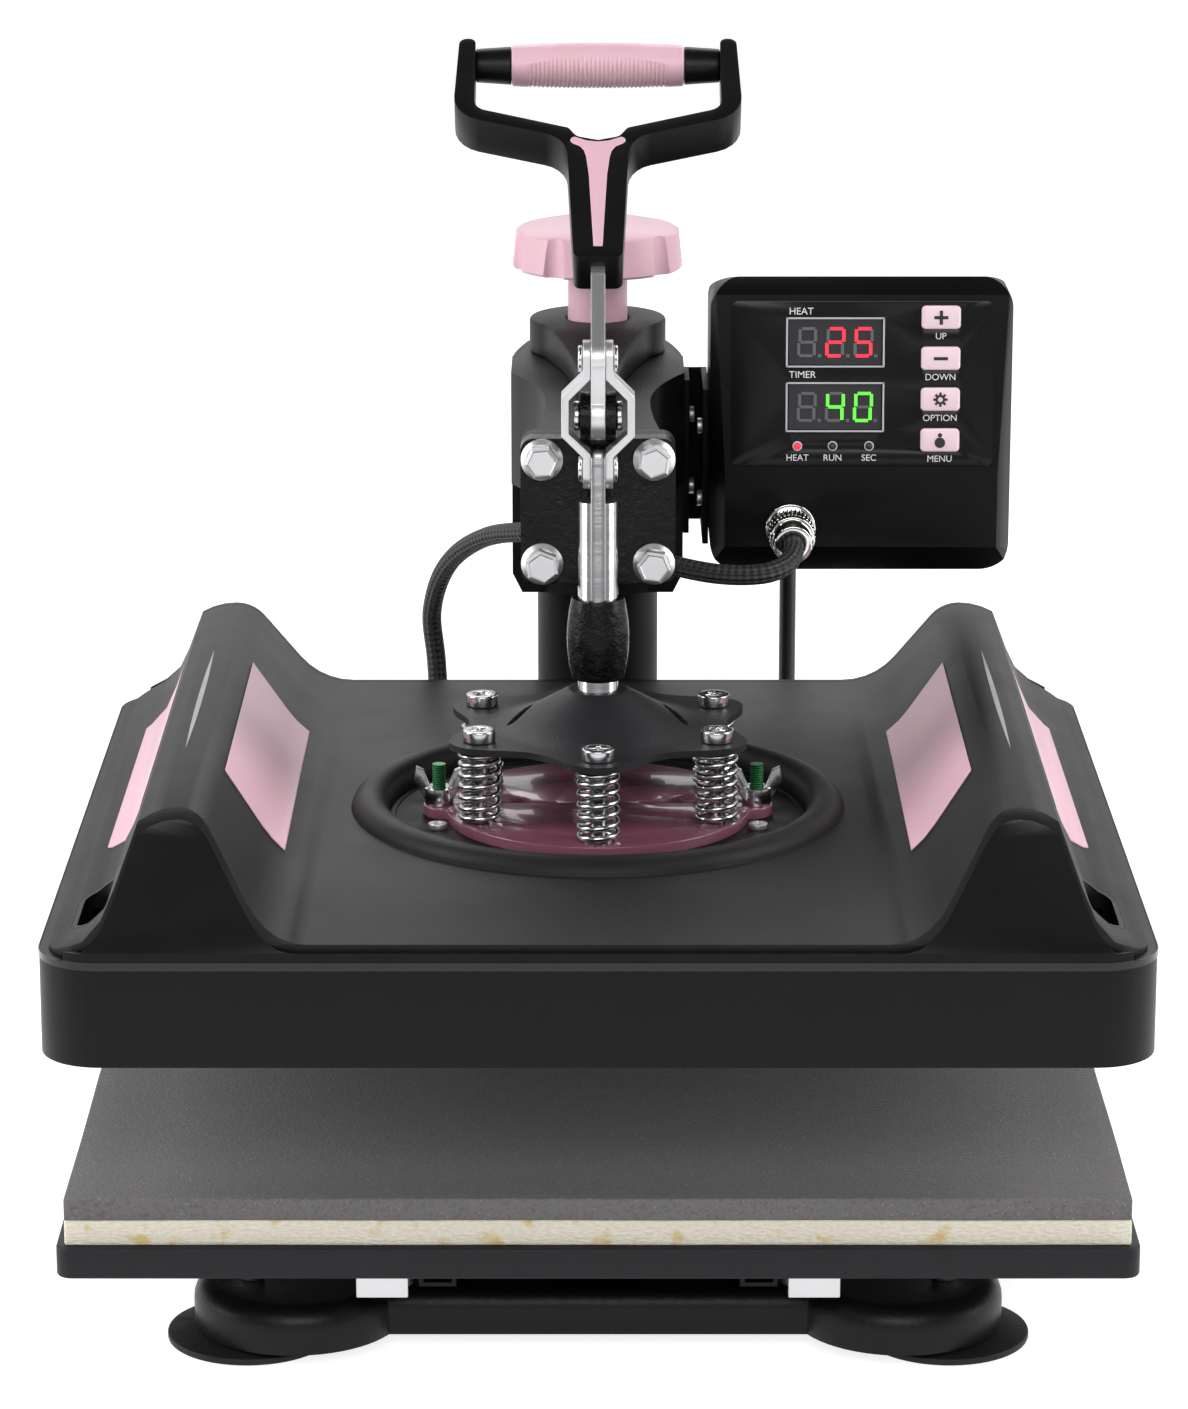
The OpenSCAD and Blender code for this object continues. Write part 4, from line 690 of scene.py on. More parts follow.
def lead_tube(path: Sequence[Vector], radius: float, sides: int) -> Mesh:
    """Sweep a round lead along a path, and note run and turn on its points.

    Args:
        path: Points of the middle of the lead.
        radius: Its radius in metres.
        sides: Sides of the tube.

    Returns:
        The closed tube.
    """
    shape = bmesh.new()
    run_layer = shape.verts.layers.float.new("run")
    turn_layer = shape.verts.layers.float.new("turn")
    side = Vector((0, 0, 1))
    rings: list[list[bmesh.types.BMVert]] = []
    run = 0.0
    for i, centre in enumerate(path):
        way = (path[min(i + 1, len(path) - 1)] - path[max(i - 1, 0)]).normalized()
        side = side - side.dot(way) * way
        if side.length < 1e-4:
            side = way.orthogonal()
        side.normalize()
        run += (centre - path[i - 1]).length if i else 0.0
        ring = []
        for k in range(sides):
            angle = 2 * math.pi * k / sides
            spoke = math.cos(angle) * side + math.sin(angle) * way.cross(side)
            vert = shape.verts.new(centre + radius * spoke)
            vert[run_layer] = run
            vert[turn_layer] = angle
            ring.append(vert)
        rings.append(ring)
    for low, high in zip(rings, rings[1:]):
        for k in range(sides):
            shape.faces.new((low[k], low[(k + 1) % sides], high[(k + 1) % sides], high[k]))
    shape.faces.new(list(reversed(rings[0])))
    shape.faces.new(rings[-1])
    return shape


@dataclass
class Studio:
    """Camera, lights, floor and backdrop."""

    eye: Point = (-1.5, -1796.7, 695.0)
    pitch: float = 74.75
    lens: float = 126.47
    sensor: float = 36.0
    sight: float = 50.0
    floor_half: float = 6.0
    floor_drop: float = 0.0005
    floor_glow: float = 0.82
    floor_pale: float = 0.6
    sky_front: float = 0.3
    sky_back: float = 0.68
    sky_top: float = 0.08
    back_span: tuple[float, float] = (-0.4, 0.6)
    top_span: tuple[float, float] = (0.3, 0.85)
    aim: Point = (0.0, 0.0, 0.2)
    lamps: tuple[tuple[str, Point, tuple[float, float], float], ...] = (
        ("left", (-1.4, -0.2, 0.9), (0.6, 1.4), 20.0), ("right", (1.4, -0.2, 0.9), (0.6, 1.4), 18.0),
        ("front", (0.0, -2.5, 1.6), (2.0, 1.2), 37.0), ("rear", (0.0, 1.8, 1.6), (2.2, 0.9), 15.0))

    def camera(self) -> None:
        """Stand the camera where the photograph was taken."""
        data = bpy.data.cameras.new("photo_camera")
        data.lens = self.lens
        data.sensor_width = self.sensor
        data.sensor_fit = "AUTO"
        data.clip_end = self.sight
        obj = bpy.data.objects.new("photo_camera", data)
        obj.location = metres(*self.eye)
        obj.rotation_euler = (math.radians(self.pitch), 0.0, 0.0)
        bpy.context.scene.collection.objects.link(obj)
        bpy.context.scene.camera = obj

    def floor(self) -> None:
        """Lay the pale floor, which shows as white and keeps the shadow."""
        shape = bmesh.new()
        bmesh.ops.create_grid(shape, x_segments=1, y_segments=1, size=self.floor_half)
        mesh = bpy.data.meshes.new("floor")
        shape.to_mesh(mesh)
        shape.free()
        graph = Graph("floor_white")
        shown = (graph.ray("Camera") + graph.ray("Glossy") + graph.ray("Transmission")).clamp()
        glow = graph.mix(shown, grey(0.0), grey(self.floor_glow))
        graph.set(Base_Color=grey(self.floor_pale), Roughness=0.8, Specular_IOR_Level=0.1)
        graph.set(Emission_Color=glow, Emission_Strength=1.0)
        mesh.materials.append(graph.material)
        obj = bpy.data.objects.new("floor", mesh)
        bpy.context.scene.collection.objects.link(obj)
        obj.location = (0.0, 0.0, -self.floor_drop)

    def sky(self) -> None:
        """Surround the scene with soft light, brightest low at the back, and show it as white."""
        world = bpy.data.worlds.new("studio")
        world.use_nodes = True
        sky = Tree(world.node_tree)
        way = sky.node("ShaderNodeTexCoord", {}, {}, "Generated")
        back = sky.ramp(sky.axis(way, 1), *self.back_span)
        top = sky.ramp(sky.axis(way, 2), *self.top_span)
        around = sky.mix(back, grey(self.sky_front), grey(self.sky_back))
        soft = sky.node("ShaderNodeBackground", {}, {"Color": sky.mix(top, around, grey(self.sky_top))})
        white = sky.node("ShaderNodeBackground", {}, {"Color": grey(1.0)})
        mirrored = (sky.ray("Glossy") + sky.ray("Transmission")) * (back * (1 - top))
        shown = (sky.ray("Camera") + mirrored).clamp()
        sky.close("ShaderNodeOutputWorld", sky.node("ShaderNodeMixShader", {}, {0: shown, 1: soft, 2: white}))
        bpy.context.scene.world = world

    def lamp(self, name: str, place: Point, size: tuple[float, float], watts: float) -> None:
        """Hang one soft box.

        Args:
            name: Name of the lamp.
            place: Where it hangs, in metres.
            size: Width and height of the soft box in metres.
            watts: Its power.
        """
        data = bpy.data.lights.new(name, "AREA")
        data.shape = "RECTANGLE"
        data.size, data.size_y = size
        data.energy = watts
        obj = bpy.data.objects.new(name, data)
        obj.location = place
        obj.rotation_euler = (Vector(self.aim) - Vector(place)).to_track_quat("-Z", "Y").to_euler()
        bpy.context.scene.collection.objects.link(obj)

    def build(self) -> None:
        """Set the studio up."""
        bpy.context.scene.view_settings.view_transform = "Standard"
        self.camera()
        self.floor()
        self.sky()
        for row in self.lamps:
            self.lamp(*row)


@dataclass
class Leads:
    """The mains lead with its coil and plug, and the braided lead to the head."""

    shop: Workshop
    mains_route: tuple[Point, ...] = (
        (81, 204, 245), (81, 214, 245), (81, 224, 245), (81, 235, 241.5), (81, 243.5, 234), (81, 249, 224),
        (81, 251, 212), (81, 251, 190), (81, 251, 160), (81, 251, 130), (81, 251, 100), (81, 251, 70),
        (81, 251.5, 45), (81, 254, 28), (81, 260, 15), (81, 270, 7), (81, 282, 3.6), (81, 294, 3.6))
    braid_route: tuple[Point, ...] = (
        (-66, 186, 148), (-66, 195, 148), (-66.5, 203, 153), (-67.5, 208, 168), (-69, 205, 190),
        (-62, 190, 213), (-47, 166, 230), (-28, 135, 240), (-10, 112, 244), (8, 97, 242),
        (30, 84, 238.5), (48, 76, 237), (64, 74.5, 237.5), (73, 80, 239.5), (76.5, 89, 242.2),
        (77, 98, 243), (77, 112, 243))
    mains_d: float = 7.0
    braid_d: float = 8.0
    coil_at: tuple[float, float] = (31, 306)
    coil_r: float = 50.0
    coil_in: float = 2.5
    pitch: float = 7.6
    tail: float = 42.0
    coil_steps: int = 24
    coil_over: float = 0.25
    join_z: float = 130.0
    mains_sides: int = 12
    braid_sides: int = 16
    mains_step: float = 0.004
    braid_step: float = 0.003
    drop_span: tuple[Point, Point] = ((81, 249, 224), (81, 251, 150))
    fall_span: tuple[Point, Point] = ((81, 251, 100), (81, 251, 12))
    braid_span: tuple[Point, Point] = ((-68, 207, 172), (-30, 140, 238))
    tie_size: Point = (26.0, 9.0, 16.6)
    tie_at: Point = (-10.0, 306.0, 8.4)

    def coil(self) -> list[Vector]:
        """Points of the put-away coil: in on the floor, up a layer, and out again."""
        points = []
        count = round(self.coil_steps * (2 * self.coil_in + self.coil_over))
        for i in range(count + 1):
            s = i / self.coil_steps
            r = self.coil_r - self.pitch * self.coil_in + self.pitch * abs(s - self.coil_in)
            t = within(2 * (s - self.coil_in) + 0.5)
            z = self.mains_d / 2 + 0.1 + self.pitch * t * t * (3 - 2 * t)
            points.append(metres(self.coil_at[0] + r * math.cos(2 * math.pi * s),
                                 self.coil_at[1] + r * math.sin(2 * math.pi * s), z))
        end = points[-1]
        return points + [end - Vector((self.tail * MM * part, 0, 0)) for part in (0.5, 1.0)]

    def lead(self, name: str, path: list[Vector], look: Look, across: float, sides: int,
             joint: tuple[str, str], span: tuple[Point, Point], nodes: Sequence[str] = (),
             **facts: object) -> None:
        """Args:
            name: Name of the piece.
            path: Points of its middle.
            look: Its finish.
            across: Its thickness in millimetres.
            sides: Sides of its tube.
            joint: The two bodies that it joins. Not used.
            span: Where it leaves the first body and where it reaches the second.
            nodes: CAD nodes that it stands in for.
            facts: Further facts about the cord. Not used.
        """
        obj = self.shop.piece(name, lead_tube(path, across / 2 * MM, sides), look, None)
        if nodes:
            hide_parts(*nodes)
        metres(*span[0])
        metres(*span[1])
        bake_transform(obj)
        path_length(path)

    def mains(self) -> None:
        """Lay the mains lead from the case to its plug, in two lengths that meet beside the post."""
        path = smooth_path([metres(*p) for p in self.mains_route] + self.coil(), self.mains_step)
        join = next(i for i, point in enumerate(path) if point.z < self.join_z * MM)
        self.lead("mains_drop", path[:join + 1], Look.CORD, self.mains_d, self.mains_sides,
                  ("arm", "bush"), self.drop_span, far_end="object", stiffness="medium", lay="hanging")
        self.lead("mains_lead", path[join:], Look.CORD, self.mains_d, self.mains_sides,
                  ("bush", "base"), self.fall_span, ("mains_cord", "mains_coil"), far_end="plug",
                  stiffness="medium", lay="coiled", with_pieces=[self.plug(), self.tie()])

    def plug(self) -> Piece:
        """Give the plug its softened body."""
        return self.shop.dress("mains_plug", Look.CORD, 0.8)

    def tie(self) -> Piece:
        """Put a strap around one side of the coil."""
        shape = block(self.tie_size, 2.0, Matrix.Translation(metres(*self.tie_at)), steps=3)
        return self.shop.piece("coil_tie", shape, Look.RUBBER, "base")

    def braid(self) -> None:
        """Run the braided lead from the head to the controller."""
        path = smooth_path([metres(*p) for p in self.braid_route], self.braid_step)
        self.lead("braided_lead", path, Look.BRAID, self.braid_d, self.braid_sides, ("ram", "arm"),
                  self.braid_span, ("head_cable",), far_end="object", stiffness="limp", lay="hanging")

    def build(self) -> None:
        """Make both leads and the glands."""
        self.mains()
        self.braid()
        self.shop.dress_all(("cord_gland", Look.RUBBER, 0.6), ("cable_gland", Look.RUBBER, 0.6))


@dataclass
class Bed:
    """Base, feet, tray and the two pads."""

    shop: Workshop
    pad_inset: float = 0.4
    pad_seat: float = 0.02
    pad_cuts: int = 40
    long_side: float = 0.05
    rim: float = 1.0
    ripple: float = 0.25
    ripple_x: float = 61.0
    ripple_y: float = 47.0

    def pad(self, node: str, look: Look, edge: float) -> None:
        """Stand a soft sheet in for a plain pad.

        Args:
            node: The CAD node of the pad.
            look: Its finish.
            edge: Softness of its edges in millimetres.
        """
        low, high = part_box(node)
        size = (high - low) / MM
        middle = (high + low) / 2
        trimmed = (size.x - self.pad_inset, size.y - self.pad_inset, size.z - self.pad_seat)
        shape = block(trimmed, edge, Matrix.Translation(middle), steps=3)
        long_edges = [e for e in shape.edges if e.calc_length() > self.long_side]
        bmesh.ops.subdivide_edges(shape, edges=long_edges, cuts=self.pad_cuts, use_grid_fill=True)
        for vert in shape.verts:
            wave = math.sin(vert.co.x * self.ripple_x) * math.sin(vert.co.y * self.ripple_y + 1.0)
            for axis in (0, 1):
                out = vert.co[axis] - middle[axis]
                if abs(out) > (size[axis] / 2 - self.rim) * MM:
                    vert.co[axis] -= math.copysign(self.ripple * MM * (0.5 + 0.5 * wave), out)
        obj = self.shop.piece(node + "_soft", shape, look, "base")
        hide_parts(node)

    def build(self) -> None:
        """Dress the bed."""
        self.pad("felt_pad", Look.FELT, 0.9)
        self.pad("silicone_mat", Look.MAT, 0.7)
        self.shop.dress_all(
            ("platen_tray", Look.TRAY, 0.9), ("base_frame", Look.BASE, 0.5, 2, 40.0),
            ("suction_feet", Look.RUBBER, 0.5), ("base_fasteners", Look.ZINC, 0.25),
            ("tray_rails", Look.BASE, 0.5), ("tray_clips", Look.ZINC, 0.4), ("post", Look.POST, 0.6))
        self.shop.paint("post_nut", Look.BRASS)


@dataclass
class Arm:
    """Arm, cap, toggle body and pressure knob."""

    shop: Workshop
    bolt_rim: float = 7.9
    bolt_head: float = 7.5
    rim_t: float = 0.9
    neck_r: float = 6.2
    neck_t: float = 1.5
    hex_r: float = 6.6
    crown: float = 0.6
    crown_in: float = 1.1
    dish: float = 0.3
    dish_in: float = 0.5
    bolt_turns: tuple[float, ...] = (8.0, 35.0, 22.0, 50.0)

    def bolts(self) -> None:
        """Cut the four hexagon bolts, with sloping flanges and dished heads."""
        low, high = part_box("flange_bolts")
        rim, edge = self.bolt_rim, self.bolt_rim * MM
        layers = ((48, rim, rim, 0.0, self.rim_t), (48, rim, self.neck_r, self.rim_t, self.neck_t),
                  (6, self.hex_r, self.hex_r, 0.0, self.bolt_head - self.crown))
        spots = [(x, z) for x in (low.x + edge, high.x - edge) for z in (low.z + edge, high.z - edge)]
        shape = bmesh.new()
        for (x, z), turn in zip(spots, self.bolt_turns):
            seat = Matrix.Translation((x, low.y + self.bolt_head * MM, z)) @ spun(90, "X") @ spun(turn, "Z")
            for sides, wide, narrow, foot, depth in layers:
                made = cone(shape, sides, wide, narrow, depth, seat @ moved(0, 0, foot + depth / 2))
            shape.normal_update()
            top = list({f for v in made for f in v.link_faces if f.normal.y < -0.9})
            for inward, rise in ((self.crown_in, self.crown), (self.dish_in, -self.dish)):
                bmesh.ops.inset_individual(shape, faces=top, thickness=inward * MM, depth=rise * MM)
        obj = self.shop.piece("flange_bolts_cut", shape, Look.ZINC, "arm", smooth=25.0)
        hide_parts("flange_bolts")

    def build(self) -> None:
        """Dress the arm."""
        self.shop.paint("swing_bush", Look.RUBBER)
        self.shop.dress_all(("swing_arm", Look.ARM, 2.2, 3), ("arm_hood", Look.ARM, 1.6, 3),
                            ("toggle_body", Look.CAST, 1.3, 3))
        self.bolts()
        self.shop.dress_all(("pivot_pin", Look.BRIGHT, 0.5), ("pressure_knob", Look.PINK, 0.9, 4))
        self.shop.paint("lead_screw", Look.THREAD)
        self.shop.dress_all(("controller_bracket", Look.POST, 0.4), ("controller_screws", Look.ZINC, 0.3))


@dataclass
class Lever:
    """Lever, handle, grip and toggle links."""

    shop: Workshop
    lean: float = 55.0
    crank_z: float = 337.5
    grip_reach: float = 157.6
    sleeve_half: float = 33.5
    sleeve_r: float = 8.8
    core_r: float = 5.52
    barrel: float = 0.9
    rib_pitch: float = 1.65
    rib_reach: float = 27.5
    rib_top: float = 198.0
    rib_low: float = 345.0
    rib_curve: float = 27.0
    rib_fade: float = 8.0
    rib_depth: float = 0.5
    dot_from: float = 132.0
    dot_gap: float = 10.0
    dot_fade: float = 6.0
    dot_reach: float = 17.0
    dot_pitch: float = 1.3
    dots_around: int = 42
    dot_h: float = 0.13
    end_round: float = 0.9
    end_drop: float = 0.7
    stations: int = 232
    around: int = 144

    def grip_matrix(self) -> Matrix:
        """Place of the grip's axis, with its length along Z."""
        crank = Matrix.Translation(metres(0, 0, self.crank_z)) @ spun(90 - self.lean, "X")
        return crank @ moved(0, self.grip_reach, 0) @ spun(90, "Y")

    def sleeve_radius(self, along: float, turn: float) -> float:
        """Radius of the sleeve: a slight barrel with ribs in front and below, and dots on top.

        Args:
            along: Distance from the middle of the sleeve in millimetres.
            turn: Degrees around the sleeve.

        Returns:
            The radius in millimetres.
        """
        radius = self.sleeve_r - self.barrel * (along / self.sleeve_half) ** 2
        first = self.rib_top + self.rib_curve * (along / self.rib_reach) ** 2
        ribbed = within((turn - first) / self.rib_fade, (self.rib_low - turn) / self.rib_fade,
                        self.rib_reach - abs(along))
        groove = 0.5 - 0.5 * math.cos(2 * math.pi * along / self.rib_pitch)
        dotted = within((turn - self.dot_from) / self.dot_fade, (first - self.dot_gap - turn) / self.dot_fade,
                        self.dot_reach - abs(along))
        dots = math.sin(math.radians(turn) * self.dots_around)
        dots *= math.sin(2 * math.pi * along / self.dot_pitch)
        return radius - self.rib_depth * ribbed * groove + self.dot_h * dotted * dots

    def grip(self) -> None:
        """Turn the grip sleeve, then press its ribs and dots in."""
        half = self.sleeve_half
        rows = [(self.sleeve_r, half * (2 * i / self.stations - 1)) for i in range(self.stations + 1)]
        shape = turned([(self.core_r, -half), *rows, (self.core_r, half)], self.around, Matrix.Identity(4))
        for vert in shape.verts:
            across = vert.co.xy
            if across.length > (self.core_r + 1.0) * MM:
                along = vert.co.z / MM
                turn = math.degrees(math.atan2(across.y, across.x)) % 360
                drop = self.end_drop * max(0.0, 1 - (half - abs(along)) / self.end_round) ** 2
                vert.co.xy = across.normalized() * (self.sleeve_radius(along, turn) - drop) * MM
        bmesh.ops.transform(shape, matrix=self.grip_matrix(), verts=shape.verts[:])
        obj = self.shop.piece("grip_ribbed", shape, Look.PINK, "lever", smooth=60.0)
        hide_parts("grip_sleeve")

    def build(self) -> None:
        """Dress the lever."""
        self.shop.dress_all(
            ("handle_frame", Look.HANDLE, 1.6, 2, 40.0), ("handle_inlay", Look.PINK, 0.3),
            ("lever_plate", Look.ZINC, 0.5), ("toggle_links", Look.ZINC, 0.5),
            ("link_rivets", Look.BRIGHT, 0.6), ("grip_rod", Look.HANDLE, 0.5, 3))
        self.grip()


@dataclass
class Head:
    """Ram, springs, cover and heater."""

    shop: Workshop
    spring_ring: float = 51.0
    spring_r: float = 7.0
    wire_r: float = 1.1
    foot_z: float = 166.5
    spring_l: float = 29.0
    spring_count: int = 6
    open_coils: float = 5.0
    end_gap: float = 0.5
    coil_spare: float = 1.3
    coil_steps: int = 28
    wire_sides: int = 10
    wire_seat: float = 0.1
    hump_x: float = 148.7
    hump_h: float = 33.0
    brow_arc: float = 28.0
    trough_z: float = 166.0
    spider_top: float = 198.0
    spider_t: float = 2.5
    lobe_r: float = 62.0
    waist_r: float = 48.5
    bore_r: float = 7.7
    collar_r: float = 11.0
    dome_r: float = 42.0
    dome_h: float = 13.5
    slot_ends: tuple[tuple[float, float], ...] = ((24.5, 8.0), (33.5, -8.0))
    slot_w: float = 1.7
    slot_fade: float = 0.5
    slot_share: float = 0.9
    dome_swell: float = 0.9
    lobe_power: float = 1.2
    blank_in: int = 10
    blank_rings: int = 70
    blank_around: int = 240
    skirt_top: float = 160.6
    lip_h: float = 3.0
    lip_out: float = 0.3
    lip_t: float = 0.6
    slit_x: float = 3.6
    slit_half_w: float = 1.0
    slit_y: float = 34.0
    slit_half_l: float = 72.0
    slit_out: float = 0.06
    slit_t: float = 0.4

    def spring(self, shape: Mesh, centre: Vector) -> None:
        """Wind one spring with closed ends.

        Args:
            shape: The bmesh to add to.
            centre: Middle of its foot, in metres.
        """
        end = (1.0, 2 * self.wire_r + self.end_gap)
        runs = (end, (self.open_coils, self.spring_l - 6 * self.wire_r - self.coil_spare), end)
        start = Matrix.Translation(centre) @ moved(self.spring_r, 0, self.wire_r + self.wire_seat)
        ring = bmesh.ops.create_circle(shape, cap_ends=False, radius=self.wire_r * MM,
                                       segments=self.wire_sides, matrix=start @ spun(90, "X"))["verts"]
        first = list({e for v in ring for e in v.link_edges})
        geom: list = list(ring) + first
        for turns, rise in runs:
            steps = round(turns * self.coil_steps)
            made = bmesh.ops.spin(shape, geom=geom, cent=centre, axis=(0, 0, 1),
                                  dvec=(0, 0, rise * MM / steps), angle=2 * math.pi * turns, steps=steps,
                                  use_merge=False, use_normal_flip=False)
            geom = made["geom_last"]
        last = [e for e in geom if isinstance(e, bmesh.types.BMEdge)]
        bmesh.ops.holes_fill(shape, edges=first + last, sides=0)

    def springs(self) -> None:
        """Wind the six springs."""
        shape = bmesh.new()
        for i in range(self.spring_count):
            angle = math.radians(360 / self.spring_count * i - 90)
            out = self.spring_ring * math.cos(angle), self.spring_ring * math.sin(angle)
            self.spring(shape, metres(*out, self.foot_z))
        bmesh.ops.remove_doubles(shape, verts=shape.verts[:], dist=1e-7)
        bmesh.ops.recalc_face_normals(shape, faces=shape.faces[:])
        obj = self.shop.piece("springs_wound", shape, Look.BRIGHT, "head", smooth=70.0)
        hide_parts("springs")
        metres(0, 0, self.foot_z)
        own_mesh(obj)

    def edge(self, turn: float) -> float:
        """Radius of the spider's edge at a turn in radians, with a lobe at every spring."""
        wave = (1 + math.cos(self.spring_count * (turn + math.pi / 2))) / 2
        return self.waist_r + (self.lobe_r - self.waist_r) * wave ** self.lobe_power

    def slot_depth(self, x: float, y: float) -> float:
        """How far a place on the dome lies inside one of its two slots, from nought to one."""
        first, last = (Vector(end) for end in self.slot_ends)
        along = last - first
        spot = Vector((abs(x), y)) - first
        share = spot.dot(along) / along.length_squared
        wide = self.slot_w * max(0.0, 1 - (2 * share - 1) ** 2) ** 0.5
        off = abs(spot.x * along.y - spot.y * along.x) / along.length
        return within((wide - off) / self.slot_fade)

    def spider(self) -> None:
        """Press the spider: a lobed plate that swells into a dome around the ram."""
        radii = range(self.blank_in, self.blank_in + self.blank_rings + 1)
        above = [(r, 1.0) for r in radii]
        under = [(r, 0.0) for r in reversed(radii)]
        blank = [*above, (radii[-1], 0.5), *under, above[0]]
        shape = turned(blank, self.blank_around, Matrix.Identity(4))
        for vert in shape.verts:
            turn = math.atan2(vert.co.y, vert.co.x)
            share = (vert.co.xy.length / MM - self.blank_in) / self.blank_rings
            upper = vert.co.z / MM
            r = self.bore_r + share * (self.edge(turn) - self.bore_r)
            u = within((r - self.collar_r) / (self.dome_r - self.collar_r))
            x, y = r * math.cos(turn), r * math.sin(turn)
            z = self.spider_top + self.dome_h * (1 - u) ** 2 * (1 + self.dome_swell * u)
            z -= self.spider_t * ((1 - upper) + self.slot_share * self.slot_depth(x, y) * upper)
            vert.co = metres(x, y, z)
        bmesh.ops.recalc_face_normals(shape, faces=shape.faces[:])
        obj = self.shop.piece("spider_pressed", shape, Look.SPIDER, "ram", smooth=50.0)
        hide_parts("spider_plate")

    def lip(self) -> None:
        """Run the gloss lip round the skirt where the cover sits on it."""
        shape = self.shop.copy_of("cover_skirt")
        for height, way in ((self.skirt_top - self.lip_h, -1), (self.skirt_top, 1)):
            bmesh.ops.bisect_plane(shape, geom=shape.verts[:] + shape.edges[:] + shape.faces[:],
                                   plane_co=(0, 0, height * MM), plane_no=(0, 0, way), clear_outer=True)
        middle = sum(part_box("cover_skirt"), Vector()) / 2
        shape.normal_update()
        inner = [f for f in shape.faces if f.normal.xy.dot((f.calc_center_median() - middle).xy) <= 0
                 or abs(f.normal.z) > 0.5]
        bmesh.ops.delete(shape, geom=inner, context="FACES")
        shape.normal_update()
        for vert in shape.verts:
            vert.co += vert.normal * self.lip_out * MM
        bmesh.ops.solidify(shape, geom=shape.faces[:], thickness=self.lip_t * MM)
        self.shop.piece("skirt_lip", shape, Look.LIP, "head")

    def slits(self) -> None:
        """Lay the long lens-shaped strips into the brows of the humps: the slits, filled with pale grey as a
        painted highlight.
        """
        shape = bmesh.new()
        for side in (-1, 1):
            for vert in bmesh.ops.create_grid(shape, x_segments=2, y_segments=40, size=1.0)["verts"]:
                out, along = vert.co.xy
                x = self.slit_x + self.slit_half_w * out * (1 - along * along)
                brow = math.sqrt(self.brow_arc ** 2 - x * x) - self.brow_arc
                z = self.trough_z + self.hump_h + brow + self.slit_out
                vert.co = metres(side * (self.hump_x + x), self.slit_y + self.slit_half_l * along, z)
        bmesh.ops.remove_doubles(shape, verts=shape.verts[:], dist=1e-6)
        shape.normal_update()
        bmesh.ops.reverse_faces(shape, faces=[f for f in shape.faces if f.normal.z < 0])
        bmesh.ops.solidify(shape, geom=shape.faces[:], thickness=self.slit_t * MM)
        self.shop.piece("hump_slit_highlights", shape, Look.SLIT_HIGHLIGHT, "head")

    def build(self) -> None:
        """Dress the head."""
        self.shop.dress("ram_rod", Look.BRIGHT, 0.6)
        self.spider()
        self.shop.dress_all(("adapter_plate", Look.PINK_METAL, 0.6), ("spring_screws", Look.BRIGHT, 0.5, 3))
        self.springs()
        self.shop.paint("wing_studs", Look.GREEN)
        self.shop.dress_all(
            ("wing_nut_left", Look.BRIGHT, 0.5), ("wing_nut_right", Look.BRIGHT, 0.5),
            ("cover_top", Look.COVER, 1.4, 3, 38.0), ("cover_skirt", Look.SKIRT, 2.4, 4, 38.0),
            ("cover_inlays", Look.PINK, 0.3, 2, 60.0), ("centre_dish", Look.SKIRT, 0.6),
            ("head_screws", Look.ZINC, 0.3))
        self.slits()
        self.lip()
        self.shop.paint("heating_platen", Look.ALLOY)
        self.shop.paint("heating_element", Look.ZINC)
        self.shop.paint("insulation", Look.WOOL)


class Segment(Enum):
    """The bars of a lit digit: middle across, middle up, and whether it stands."""

    TOP = (0.0, 1.0, False)
    UPPER_LEFT = (-0.5, 0.5, True)
    UPPER_RIGHT = (0.5, 0.5, True)
    MIDDLE = (0.0, 0.0, False)
    LOWER_LEFT = (-0.5, -0.5, True)
    LOWER_RIGHT = (0.5, -0.5, True)
    BOTTOM = (0.0, -1.0, False)


DARK_BARS = {
    "0": {Segment.MIDDLE},
    "2": {Segment.UPPER_LEFT, Segment.LOWER_RIGHT},
    "4": {Segment.TOP, Segment.LOWER_LEFT, Segment.BOTTOM},
    "5": {Segment.UPPER_RIGHT, Segment.LOWER_LEFT},
    " ": set(Segment),
}


